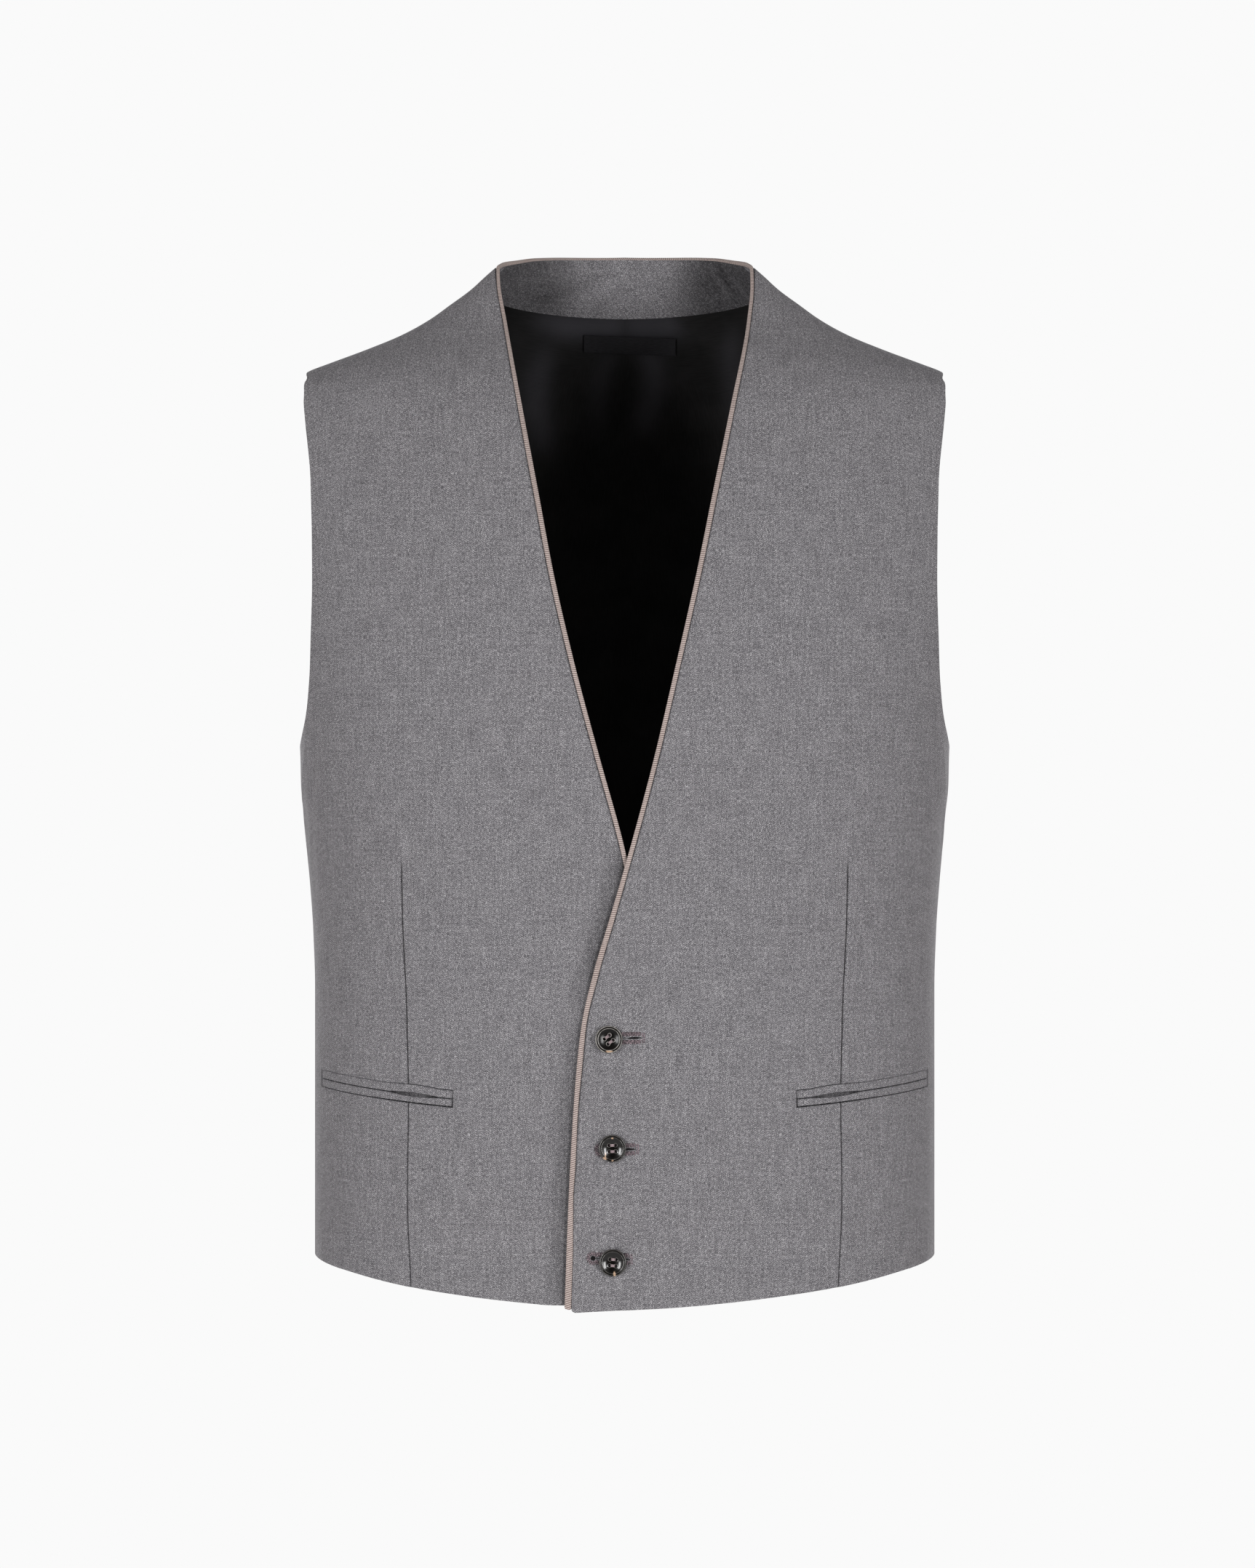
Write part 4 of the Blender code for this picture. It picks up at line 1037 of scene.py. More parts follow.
def pocket_jets(front_name, worsted):
    """The two folded strips that bind a pocket's mouth, set into the front."""
    across = np.linspace(POCKET_INNER[0] + 0.35, POCKET_OUTER[0] - 0.8, 160)
    share = (across - POCKET_INNER[0]) / (POCKET_OUTER[0] - POCKET_INNER[0])
    level = pocket_level(share)
    places = even_points(np.stack((front_turn(across, level), level), axis=1), 110, surface)
    share = pocket_share(places[:, 0], places[:, 1])
    lift = front_lift(front_name, places[:, 0], places[:, 1])
    point, normal, down = edge_frames(places, lift, inner_hint=(0.0, -1.0))
    half_open = mouth_opening(share) / 2
    below, above = jets_reach(share)
    # the seam above the upper jet closes towards its outer end
    gaps = {
        "upper": 0.34 - 0.26 * smoothstep((share - 0.3) / 0.3),
        "lower": 0.72 - 0.3 * smoothstep((share - 0.35) / 0.4),
    }
    side = front_name.split("_")[0]
    for jet, way, reach in (("upper", -1, above), ("lower", 1, below)):
        seated = (point + down * (way * half_open)[:, None], normal, down * way)
        widths = (reach - half_open - gaps[jet]) / JET_SECTION_WIDTH
        name = "jet_%s_%s" % (side, jet)
        mirror = side == "right"
        piece = swept_bar(name, seated, JET_SECTION, worsted, mirror=mirror, widths=widths)
        dressed(piece, "grey_worsted", name)


# ---------------------------------------------------------------- piping


def front_piping(front_name, ribbon):
    """The ribbed ribbon that edges one front, from above its hem to the shoulder seam."""
    places = front_edge_places(front_name, 460)
    near_end = np.linspace(places[1], places[4], 19)
    places = np.vstack((places[:1], near_end, places[5:]))
    lift = front_lift(front_name, places[:, 0], places[:, 1])
    frames = edge_frames(places, lift)
    from_hem = np.linalg.norm(frames[0] - frames[0][0], axis=1)
    kept = from_hem >= PIPING_ABOVE_HEM
    frames = tuple(part[kept] for part in frames)
    from_end = from_hem[kept] - from_hem[kept][0]
    sizes = 1 - 0.3 * bell(from_end, 0.3)
    # the ribbon's end is turned under with a rounded corner on its free side
    past = np.clip(from_end / END_CORNER_RADIUS, 0.0, 1.0)
    cut = END_CORNER_RADIUS * (1 - np.sqrt(1 - (1 - past) ** 2))
    frames = (frames[0] + frames[2] * cut[:, None], frames[1], frames[2])
    widths = ribbon_share(places[kept][:, 1]) - cut / PIPING_WIDTH
    mirror = front_name == "right_front"
    name = "piping_" + front_name
    piece = swept_bar(name, frames, PIPING_SECTION, ribbon, mirror, sizes, widths)
    dressed(piece, "taupe_ribbon", name)


def neck_piping(ribbon):
    places = neck_edge_places(160)
    frames = edge_frames(places, inner_hint=(0.0, -1.0))
    shape = np.array(PIPING_SECTION)
    ends = band_end_share(len(places))
    section = np.repeat(shape[None], len(places), axis=0)
    section[..., 0] *= ribbon_share(10.0)
    folded = (shape[:, 1] < -0.9)[None]
    depth = band_wall(ends)[:, None] + 0.1
    inside = 1 - (1 - PIPING_INSIDE / 2.0) * folded * ends[:, None]
    section[..., 0] *= inside
    section[..., 1] = np.where(folded, shape[:, 1] * depth / 1.85, section[..., 1])
    piece = swept_bar("piping_neck", frames, section, ribbon)
    dressed(piece, "taupe_ribbon", "piping_neck")


# ---------------------------------------------------------------- back, lining and neck band

BACK_LOWER_ROWS = 84
BACK_UPPER_ROWS = 96
BACK_COLUMNS = 64
BACK_BREAK_LEVEL = -268.0
BAND_ROWS = 14
BAND_COLUMNS = 150
BAND_END_LEVEL = BAND_BASE_LEVEL + BAND_BASE_RISE * 0.75  # near its base at the shoulder seams
BAND_SHADE = (0.13, 22.0, 28.0, 0.34)  # everywhere, at its sides from 22 mm over 28 mm, in folds
BAND_SIDE_SHADE = (0.44, 0.57)  # the wearer's right, left


def band_base_level(turn):
    away = np.clip(1 + np.asarray(turn), 0.0, 0.87)
    return BAND_BASE_LEVEL + BAND_BASE_RISE * (1 + turn) ** 2 + 15.0 * away**2 * (0.87 - away)


def band_end_share(count):
    """Along the band: zero at its two ends, one from a few centimetres in."""
    along = np.linspace(-1, 1, count)
    return smoothstep((1 - np.abs(along)) / 0.2)


def band_wall(share):
    """The band's thickness, which narrows to the fronts' at the shoulder seams."""
    return FRONT_WALL + (BAND_WALL - FRONT_WALL) * share


def back_grid():
    """Places (turn, level) of half the back, from the centre seam to the side and armhole."""
    half_gap = JOIN_GAP / 2
    behind, shoulder = SIDE_SEAM_BACK + half_gap, SHOULDER_SEAM_BACK + half_gap
    side_turn = turn_behind(behind, -565.0)
    side_hem = float(hem_level(side_turn))
    across = np.linspace(0, 1, BACK_COLUMNS + 1)
    up = np.linspace(0, 1, BACK_LOWER_ROWS + 1)[:, None]
    foot = ARMHOLE_BACK[0][1]
    near_hem = np.linspace(-566.0, side_hem, BACK_COLUMNS + 1)
    level = near_hem * (1 - up) + (BACK_BREAK_LEVEL * (1 - across) + foot * across) * up
    for _ in range(3):
        centre = arc(back_turn(half_gap, level[:, :1]), level[:, :1])
        side = arc(turn_behind(behind, level[:, -1:]), level[:, -1:])
        turn = turn_of_arc(centre * (1 - across) + side * across, level)
        hem = hem_level(turn[0])
        level = hem * (1 - up) + level[-1] * up
    turn[:, 0] = back_turn(half_gap, level[:, 0])
    turn[:, -1] = turn_behind(behind, level[:, -1])
    lower = np.stack((turn, level), axis=-1)
    seam_turn = turn_behind(shoulder, BAND_END_LEVEL)
    neck_turns = np.linspace(-1.0, seam_turn, 60)
    neck = np.stack((neck_turns, band_base_level(neck_turns) - half_gap), axis=1)
    neck[0, 0] = back_turn(half_gap, neck[0, 1])
    centre_rows = int(BACK_UPPER_ROWS * 0.62)
    levels = np.linspace(BACK_BREAK_LEVEL, neck[0, 1], centre_rows + 1)
    centre = np.stack((back_turn(half_gap, levels), levels), axis=1)
    left = np.vstack((centre[:-1], even_points(neck, BACK_UPPER_ROWS - centre_rows, surface)))
    left[0] = lower[-1, 0]
    left[-1] = (turn_behind(shoulder, left[-1, 1]), left[-1, 1])
    return below_and_above(lower, left, ARMHOLE_BACK, behind, shoulder, across)


def back_pieces(grid, satin, lining):
    """The satin back in two halves and the lining behind each of them."""
    turn, level = grid[..., 0], grid[..., 1]
    ground, normal = surface(turn, level), outward(turn, level)
    seam = np.tile(0.55 * bell(np.arange(grid.shape[1]), 1.0), (grid.shape[0], 1))
    folds = {
        "back_left": BACK_LEFT_FOLDS,
        "back_right": BACK_RIGHT_FOLDS,
        "lining_left": LINING_LEFT_FOLDS,
        "lining_right": LINING_RIGHT_FOLDS,
    }
    for name, rows in folds.items():
        kind, side = name.split("_")
        lift = relief(turn, level, rows)
        if kind == "back":
            marks = {"seam": seam}
            outer = ground + normal * np.maximum(lift, -0.5)[..., None]
            inner = ground - normal * (BACK_WALL - 0.35)
        else:
            # the lining's inside carries painted gleams as its mark
            gleams = LINING_LEFT_GLEAMS if side == "left" else LINING_RIGHT_GLEAMS
            placed = [(a, h, [(back_turn(x, z), z) for x, z in run]) for a, h, run in gleams]
            marks = {"inside": relief(turn, level, placed), "flush": True}
            set_in = BACK_WALL + SEAM_GAP
            outer = ground - normal * set_in
            inner = ground + normal * (lift - set_in - LINING_WALL)[..., None]
            middle = ground[:, 0, 0] < JOIN_GAP
            outer[middle, 0, 0] = inner[middle, 0, 0] = 0.0  # the two halves meet
        finishes = [satin if kind == "back" else lining, lining]
        mirror = side == "right"
        piece = cloth_shell(name, outer, inner, cloth_uv(ground), finishes, mirror=mirror, **marks)
        dressed(piece, "black_satin", name)


def neck_band(worsted):
    """The standing band round the back of the neck, in one piece from shoulder to shoulder."""
    half_gap = JOIN_GAP / 2
    seam = SHOULDER_SEAM_BACK + half_gap
    seam_turn = turn_behind(seam, BAND_END_LEVEL)
    turns = np.linspace(seam_turn, -1.0, 60)
    base = np.stack((turns, band_base_level(turns) + half_gap), axis=1)
    base = even_points(base, BAND_COLUMNS // 2, surface)
    up = np.linspace(0, 1, BAND_ROWS + 1)[:, None, None]
    edge = neck_edge_places(BAND_COLUMNS)
    ends = band_end_share(BAND_COLUMNS + 1)
    outside = PIPING_WIDTH * ribbon_share(10.0) * np.ones_like(ends)
    inside = outside + (PIPING_INSIDE - outside) * ends
    grids = []
    for reach in (outside, inside):
        top = inset_path(edge, reach + JOIN_GAP, (0.0, -1.0))[: BAND_COLUMNS // 2 + 1]
        top[0, 0] = turn_behind(seam, top[0, 1])
        top[-1, 0] = CENTRE_BACK
        left = base[None] * (1 - up) + top[None] * up
        left[:, 0, 0] = turn_behind(seam, left[:, 0, 1])
        right = left[:, -2::-1] * (-1, 1) + (-2.0, 0.0)
        grids.append(np.concatenate((left, right), axis=1))
    (turn, level), (turn_in, level_in) = (np.moveaxis(grid, -1, 0) for grid in grids)
    lift = relief(turn, level, BAND_FOLDS)
    outer = surface(turn, level) + outward(turn, level) * (0.15 * lift)[..., None]
    wall = band_wall(ends) - lift
    inner = surface(turn_in, level_in) - outward(turn_in, level_in) * wall[..., None]
    # its two sides lie deep in the shade of the neck, and so does the trough of each crease
    across = inner[..., 0]
    usual, begins, over, in_folds = BAND_SHADE
    sides = np.where(across < 0, *BAND_SIDE_SHADE) * smoothstep((np.abs(across) - begins) / over)
    shade = np.clip(usual + sides - in_folds * lift, 0.0, 0.9)
    piece = cloth_shell(
        "neck_band", outer, inner, cloth_uv(outer), [worsted, worsted], inside=shade
    )
    dressed(piece, "grey_worsted", "neck_band")


def label(weave):
    """The bare woven label under the neck band, on the lining."""
    columns, rows = 60, 14
    over = np.linspace(-0.5, 0.5, columns + 1)
    up = np.linspace(-0.5, 0.5, rows + 1)[:, None]
    across = LABEL_ACROSS + LABEL_WIDTH * over + 0 * up
    level = LABEL_LEVEL + LABEL_HEIGHT * up - LABEL_DROP * over
    turn = back_turn(across, level)
    ground, normal = surface(turn, level), outward(turn, level)
    stand = BAND_WALL + LABEL_STAND
    billow = 0.25 * np.cos(over * 3 * math.pi) * np.cos(up * math.pi)
    outer = ground - normal * stand
    inner = ground - normal * (stand + LABEL_THICK + billow)[..., None]
    piece = cloth_shell("label", outer, inner, cloth_uv(ground), [weave, weave], rim=0.15)
    dressed(piece, "black_satin", "label")


# ---------------------------------------------------------------- buttons and buttonholes


def left_front_place(across, level):
    """A point on the left front's cloth, its outward normal and the way up the cloth."""
    turn = front_turn(across, level)
    normal = outward(turn, level)
    lift = front_lift("left_front", turn, level)
    point = surface(turn, level) + normal * np.asarray(lift)[..., None]
    up = unit(surface(turn, level + 1) - surface(turn, level - 1))
    return point, normal, up


def standing_on(point, normal, up):
    """The matrix that stands a small piece on the cloth, its +Z out and its +Y up the cloth."""
    side = np.cross(up, normal)
    turned = Matrix(np.column_stack((unit(side), unit(np.cross(normal, unit(side))), normal)))
    return Matrix.Translation(Vector(point)) @ turned.to_4x4()


def button(number, across, level, horn, thread):
    """A turned four-hole horn button and the thread that holds it."""
    bm = bmesh.new()
    verts = [bm.verts.new((radius, 0, height)) for radius, height in BUTTON_SECTION]
    edges = [bm.edges.new(pair) for pair in zip(verts, verts[1:])]
    bmesh.ops.spin(
        bm,
        geom=verts + edges,
        axis=(0, 0, 1),
        cent=(0, 0, 0),
        angle=math.tau,
        steps=72,
        use_merge=True,
    )
    bmesh.ops.remove_doubles(bm, verts=bm.verts, dist=0.001)
    bmesh.ops.recalc_face_normals(bm, faces=bm.faces)
    body = finished("turned", bm, [horn], smooth_to=50)
    drills = bmesh.new()
    for x, y in BUTTON_HOLES:
        drill = bmesh.ops.create_cone(
            drills,
            cap_ends=True,
            segments=24,
            radius1=BUTTON_HOLE_RADIUS,
            radius2=BUTTON_HOLE_RADIUS,
            depth=6.0,
        )
        bmesh.ops.translate(drills, vec=(x, y, 0.8), verts=drill["verts"])
    drill = finished("drills", drills, [horn])
    cut = body.modifiers.new("holes", "BOOLEAN")
    cut.operation = "DIFFERENCE"
    cut.solver = "EXACT"
    cut.object = drill
    shown = body.evaluated_get(bpy.context.evaluated_depsgraph_get())
    mesh = bpy.data.meshes.new_from_object(shown)
    for spare in (body, drill):
        bpy.data.objects.remove(spare)
    bm = bmesh.new()
    bm.from_mesh(mesh)
    bmesh.ops.scale(bm, vec=(1 / MM,) * 3, verts=bm.verts)
    bmesh.ops.remove_doubles(bm, verts=bm.verts, dist=DRILL_MERGE)
    bmesh.ops.dissolve_degenerate(bm, edges=bm.edges, dist=DRILL_MERGE / 4)
    rounded(bm, [e for e in bm.edges if e.is_manifold and is_hole_rim(e)], HOLE_ROUND)
    point, normal, up = left_front_place(across, level)
    stand = standing_on(point + normal * BUTTON_SEAT, normal, up)
    turned, leans_up, leans_aside = (math.radians(angle) for angle in BUTTON_TURNS[number - 1])
    lean = Matrix.Rotation(-leans_up, 4, "X") @ Matrix.Rotation(leans_aside, 4, "Y")
    turn = lean @ Matrix.Rotation(turned, 4, "Z")
    on_button = bm.loops.layers.uv.new("button_mm")
    on_cloth = bm.loops.layers.uv.new("cloth_mm")
    for face in bm.faces:
        for loop in face.loops:
            loop[on_button].uv = loop.vert.co.xy
            loop[on_cloth].uv = (stand.to_3x3() @ turn.to_3x3() @ loop.vert.co).xz
    bmesh.ops.transform(bm, matrix=stand @ turn, verts=bm.verts)
    name = "button_%d" % number
    dressed(finished(name, bm, [horn], smooth_to=50), "dark_horn", name)
    dressed(button_thread(number, stand @ turn, thread), "taupe_ribbon")


def is_hole_rim(edge):
    """Whether this edge is where a thread hole meets the button's dished face."""
    one, other = (vert.co for vert in edge.verts)
    middle = (one + other) / 2
    if middle.z <= 1.2 or abs(one.z - other.z) >= 0.2:
        return False
    away = [abs((middle.xy - Vector(hole)).length - BUTTON_HOLE_RADIUS) for hole in BUTTON_HOLES]
    return min(away) < 0.06


def strand(bm, points, radius, sides=6):
    """A round thread through these points, closed at its ends."""
    points = [Vector(p) for p in points]
    rings = []
    for i, point in enumerate(points):
        along = (points[min(i + 1, len(points) - 1)] - points[max(i - 1, 0)]).normalized()
        facing = along.to_track_quat("Z", "Y").to_matrix().to_4x4()
        matrix = Matrix.Translation(point) @ facing
        ring = bmesh.ops.create_circle(bm, segments=sides, radius=radius, matrix=matrix)["verts"]
        rings.append(ring)
    for here, there in zip(rings, rings[1:]):
        edges = {
            edge
            for ring in (here, there)
            for vert in ring
            for edge in vert.link_edges
            if edge.verts[0] in ring and edge.verts[1] in ring
        }
        bmesh.ops.bridge_loops(bm, edges=list(edges))
    for ring in (rings[0], rings[-1]):
        bmesh.ops.contextual_create(bm, geom=ring)


STRANDS = (-0.48, 0.02, 0.5)  # the threads of a bar, across it


def button_thread(number, stand, thread):
    """Two bars of thread over the button's middle, and the shank between it and the cloth."""
    bm = bmesh.new()
    reach, top = BUTTON_HOLE_OFFSET - 0.7, 1.5
    for side in (-1, 1):
        for strand_offset in STRANDS:
            y = side * BUTTON_HOLE_OFFSET + strand_offset
            rise = ((0.1, 0.2), (-0.1, top - 0.45), (-0.4, top + 0.1))
            left = [(-reach - x, y, z) for x, z in rise]
            middle = (0.0, y, top + 0.26 - 0.2 * abs(strand_offset))
            right = [(-x, y, z) for x, y, z in left[::-1]]
            strand(bm, [*left, middle, *right], 0.25)
    for turn in range(5):
        angle = turn * math.tau / 5
        foot = (1.1 * math.cos(angle), 1.1 * math.sin(angle), -BUTTON_SEAT - 0.2)
        strand(bm, [foot, (foot[0] * 0.9, foot[1] * 0.9, 0.15)], 0.3)
    bmesh.ops.recalc_face_normals(bm, faces=bm.faces)
    bmesh.ops.transform(bm, matrix=stand, verts=bm.verts)
    return finished("button_%d_thread" % number, bm, [thread])


def stitch(bm, point, normal, along, length, width, height=STITCH_THICK):
    """A small rounded stitch lying on the cloth."""
    side = np.cross(normal, along)
    matrix = Matrix(np.column_stack((along, side, normal))).to_4x4()
    size = Matrix.Diagonal((length, width, height, 1.0))
    place = Matrix.Translation(Vector(point)) @ matrix @ size
    made = bmesh.ops.create_cube(bm, size=1.0, matrix=place)["verts"]
    edges = list({edge for vert in made for edge in vert.link_edges})
    rounded(bm, edges, min(width, height) * 0.3, segments=1)


def buttonhole(number, left, right, left_level, right_level, thread, gimp, painted_shade):
    """A keyhole buttonhole: two rows of purl stitches over gimp, a ring round its eye, and the
    crossed stitches at its end. The gimp is coloured dark as painted shade between the stitches,
    and a near-black sheet over the cut and the eye is painted shadow."""
    bm, under = bmesh.new(), bmesh.new()
    rng = np.random.default_rng(40 + number)
    slope = (right_level - left_level) / (right - left)
    eye = left + EYE_RADIUS + STITCH_LENGTH / 2

    def place(across, aside):
        level = left_level + (across - left) * slope + aside
        return left_front_place(across, level)

    def purl(point, normal, along, length):
        stitch(bm, point + normal * STITCH_STAND, normal, along, length, STITCH_WIDTH)

    # the gimp under the stitches, dark as painted shade
    def pad(point, normal, along, length, width):
        stitch(under, point + normal * GIMP_STAND, normal, along, length, width, GIMP_THICK)

    def sew(across, aside, length, lean=0.0):
        point, normal, up = place(across, aside + rng.normal(0, 0.06))
        along = unit(up + (lean + rng.normal(0, 0.12)) * np.cross(up, normal))
        purl(point, normal, along, length * (1 + rng.normal(0, 0.06)))

    row_start, row_end = eye + EYE_RADIUS * 0.75, right - BAR_WIDTH
    count = int((row_end - row_start) / STITCH_STEP)
    step = (row_end - row_start) / count
    for side in (-1, 1):
        for k in range(count):
            across = row_start + (k + 0.5) * step
            sew(across, side * ROW_CENTRE, STITCH_LENGTH, 0.2 * side * (-1) ** k)
            point, normal, up = place(across, side * ROW_CENTRE)
            pad(point, normal, np.cross(up, normal), step * 1.04, STITCH_LENGTH)
        for k in range(2):
            sew(right - 0.55 - k * 1.05, side * (1.75 - 0.1 * k), 2.5)
    sew(right - 0.5, 0.0, 1.5)
    for k in range(EYE_STITCHES):
        angle = math.tau * (k + 0.5) / EYE_STITCHES
        if abs(math.cos(angle) - 1) < 0.08:
            continue
        out = EYE_RADIUS + rng.normal(0, 0.05)
        point, normal, up = place(eye + out * math.cos(angle), out * math.sin(angle))
        side = np.cross(up, normal)
        along = unit(side * math.cos(angle) + up * math.sin(angle))
        purl(point, normal, along, STITCH_LENGTH * 0.92)
        pad(point, normal, unit(np.cross(normal, along)), 1.05, STITCH_LENGTH * 0.9)
    for kind, made, finish in (("stitches", bm, thread), ("gimp", under, gimp)):
        bmesh.ops.recalc_face_normals(made, faces=made.faces)
        name = "buttonhole_%d_%s" % (number, kind)
        dressed(finished(name, made, [finish]), "taupe_ribbon")

    # a near-black sheet of painted shadow over the cut and the eye
    slit = bmesh.new()
    across = np.linspace(row_start - 1.0, row_end + 0.9, 40)
    open_part = np.clip((across - right + 10.6) / 9.0, 0.0, 1.0)
    half = 0.5 * np.sin(open_part * math.pi) + 0.07
    mouth = np.concatenate([np.stack((across, half), 1), np.stack((across, -half), 1)[::-1]])
    angles = math.tau * np.arange(20) / 20
    round_eye = np.stack((eye + EYE_HOLE * np.cos(angles), EYE_HOLE * np.sin(angles)), 1)
    for outline, stand in ((mouth, SLIT_STAND), (round_eye, EYE_STAND)):
        placed = [place(*spot)[:2] for spot in outline]
        verts = [slit.verts.new(Vector(point + normal * stand)) for point, normal in placed]
        slit.faces.new(verts)
    bmesh.ops.triangulate(slit, faces=slit.faces)
    bmesh.ops.solidify(slit, geom=slit.faces[:], thickness=0.08)
    bmesh.ops.recalc_face_normals(slit, faces=slit.faces)
    dressed(finished("buttonhole_%d_slit" % number, slit, [painted_shade]), "grey_worsted")


# ---------------------------------------------------------------- materials


def linear(hex_colour):
    """An sRGB hex colour as linear RGBA."""
    parts = [int(hex_colour[i : i + 2], 16) / 255 for i in (1, 3, 5)]
    return (*(c / 12.92 if c <= 0.04045 else ((c + 0.055) / 1.055) ** 2.4 for c in parts), 1.0)


def add(tree, kind, sockets=None, **settings):
    """Adds a shader node and returns its outputs. settings are its properties; sockets maps an
    input to a value or to another node's output, which is then linked."""
    made = tree.nodes.new("ShaderNode" + kind)
    for name, value in settings.items():
        setattr(made, name, value)
    for name, value in (sockets or {}).items():
        if isinstance(value, bpy.types.NodeSocket):
            tree.links.new(value, made.inputs[name])
        else:
            made.inputs[name].default_value = value
    return made.outputs


def new_material(name, **shader_values):
    """A material with a Principled shader whose plain values are set on its own sockets."""
    made = bpy.data.materials.new(name)
    made.use_nodes = True
    shader = made.node_tree.nodes["Principled BSDF"]
    for socket, value in shader_values.items():
        shader.inputs[socket.replace("_", " ")].default_value = value
    return made, made.node_tree, shader


def stretched_noise(tree, coordinates, width, length, detail=2.0, roughness=0.6, turned=0.0):
    """Noise whose grains are width × length, in the units of the coordinates."""
    scale = (1 / width, 1 / length, 1 / width)
    mapped = {"Vector": coordinates, "Rotation": (0, 0, turned), "Scale": scale}
    placed = add(tree, "Mapping", mapped)[0]
    drawn = {"Vector": placed, "Scale": 1.0, "Detail": detail, "Roughness": roughness}
    return add(tree, "TexNoise", drawn, noise_dimensions="3D")["Fac"]


def weighted_sum(tree, start, parts):
    """start + each output's distance from a half, times its weight."""
    for output, weight in parts:
        scaled = add(tree, "Math", {0: output, 1: 0.5}, operation="SUBTRACT")[0]
        start = add(tree, "Math", {0: scaled, 1: weight, 2: start}, operation="MULTIPLY_ADD")[0]
    return start


def two_toned(made, tone, first, second, height=None, strength=0.0, distance=0.0, normal=None):
    """Colours a material from first to second (each a hex value or an output) as its tone goes
    from 0 to 1, and lets a height raise its surface, or this normal, by a distance in metres."""
    material, tree, shader = made
    ends = [linear(end) if isinstance(end, str) else end for end in (first, second)]
    colour = add(tree, "Mix", {0: tone, 6: ends[0], 7: ends[1]}, data_type="RGBA")[2]
    tree.links.new(colour, shader.inputs["Base Color"])
    if height:
        raised = {"Strength": strength, "Distance": distance, "Height": height}
        if normal:
            raised["Normal"] = normal
        tree.links.new(add(tree, "Bump", raised)[0], shader.inputs["Normal"])
    return material


def bands(tree, cloth, slant, pitch, distortion, detail_scale, direction):
    """Even bands of this pitch in mm across a cloth, slightly uneven."""
    slanted = add(tree, "Mapping", {"Vector": cloth, "Rotation": (0, 0, slant)})[0]
    wave = {"Vector": slanted, "Scale": math.pi / (10 * pitch), "Distortion": distortion}
    wave.update({"Detail": 1.0, "Detail Scale": detail_scale})
    return add(tree, "TexWave", wave, bands_direction=direction)["Fac"]


TWILL_PITCH = 0.95  # mm
TWILL_SLANT = math.radians(-35)
RIB_PITCH = 1.15  # mm
RIB_SLANT = math.radians(20)  # the ribbon is pulled along its edge as it is sewn on


def grey_worsted():
    """Fine melange worsted suiting: dark and pale grey wool spun together, woven plain and shorn.
    It is matt with a faint bloom. Fibre bundles pepper it, each yarn shows for a short way
    between its crossings, and uneven yarns draw long, faint streaks both ways. Its real yarns
    are 0.2 mm apart and are drawn at about twice that."""
    made = _, tree, _ = new_material(
        "grey_melange_worsted",
        Roughness=0.82,
        Specular_IOR_Level=0.22,
        Sheen_Weight=0.14,
        Sheen_Roughness=0.45,
        Sheen_Tint=linear("#cfd2da"),
    )
    place = add(tree, "TexCoord")["Object"]
    cloth = add(tree, "UVMap", uv_map="cloth_mm")[0]
    yarns = (  # width and length in mm, detail, weight
        (0.42, 0.42, 0.0, 1.0),
        (0.45, 2.0, 0.0, 0.38),
        (2.0, 0.45, 0.0, 0.33),
        (1.5, 20.0, 1.0, 0.2),
        (20.0, 1.5, 1.0, 0.14),
    )
    parts = [(stretched_noise(tree, cloth, *grain), weight) for *grain, weight in yarns]
    twill = bands(tree, cloth, TWILL_SLANT, TWILL_PITCH, 2.5, 0.6, "Y")
    broad = stretched_noise(tree, place, 0.008, 0.012)
    level = weighted_sum(tree, 0.485, (parts[0], (twill, 0.13), *parts[1:], (broad, 0.1)))
    wool = add(tree, "ValToRGB", {"Fac": level})
    ramp = wool["Color"].node.color_ramp.elements
    ramp[0].color, ramp[1].color = linear("#151518"), linear("#dcdadd")
    ramp.new(0.5).color = linear("#757377")
    # painted shade: the seam mark darkens the wool towards near-black, broken into beads
    seam = add(tree, "Attribute", attribute_name="seam")["Fac"]
    beads = add(tree, "TexNoise", {"Vector": place, "Scale": 620.0, "Detail": 0.0})["Fac"]
    beaded_shade = add(tree, "Math", {0: beads, 1: 0.6, 2: 0.68}, operation="MULTIPLY_ADD")[0]
    painted_shade = add(tree, "Math", {0: seam, 1: beaded_shade}, operation="MULTIPLY", use_clamp=True)
    return two_toned(made, painted_shade[0], wool["Color"], "#151416", level, 0.3, 0.0002)


def black_satin():
    """Black viscose back satin: long floats lie along the cloth, so it shines in soft, slightly
    drawn-out patches, and small creases break them. Its colour is also painted paler along the
    floats and over the creases, a painted sheen."""
    made = _, tree, shader = new_material(
        "black_viscose_satin", Roughness=0.62, Specular_IOR_Level=0.42
    )
    place = add(tree, "TexCoord")["Object"]
    cloth = add(tree, "UVMap", uv_map="cloth_mm")[0]
    creases = stretched_noise(tree, place, 0.022, 0.036, 2.0, 0.45)
    floats = stretched_noise(tree, cloth, 0.9, 9.0, 1.0, 0.5)
    # painted sheen: the colour runs paler along the floats and over the creases
    tone = weighted_sum(tree, 0.5, ((creases, 0.5), (floats, 0.8)))
    gloss = add(tree, "Math", {0: floats, 1: 0.2, 2: 0.52}, operation="MULTIPLY_ADD")[0]
    tree.links.new(gloss, shader.inputs["Roughness"])
    fine = add(tree, "Bump", {"Strength": 0.25, "Distance": 0.0002, "Height": floats})[0]
    return two_toned(made, tone, "#0a0a0b", "#1d1c1e", creases, 0.6, 0.0028, fine)


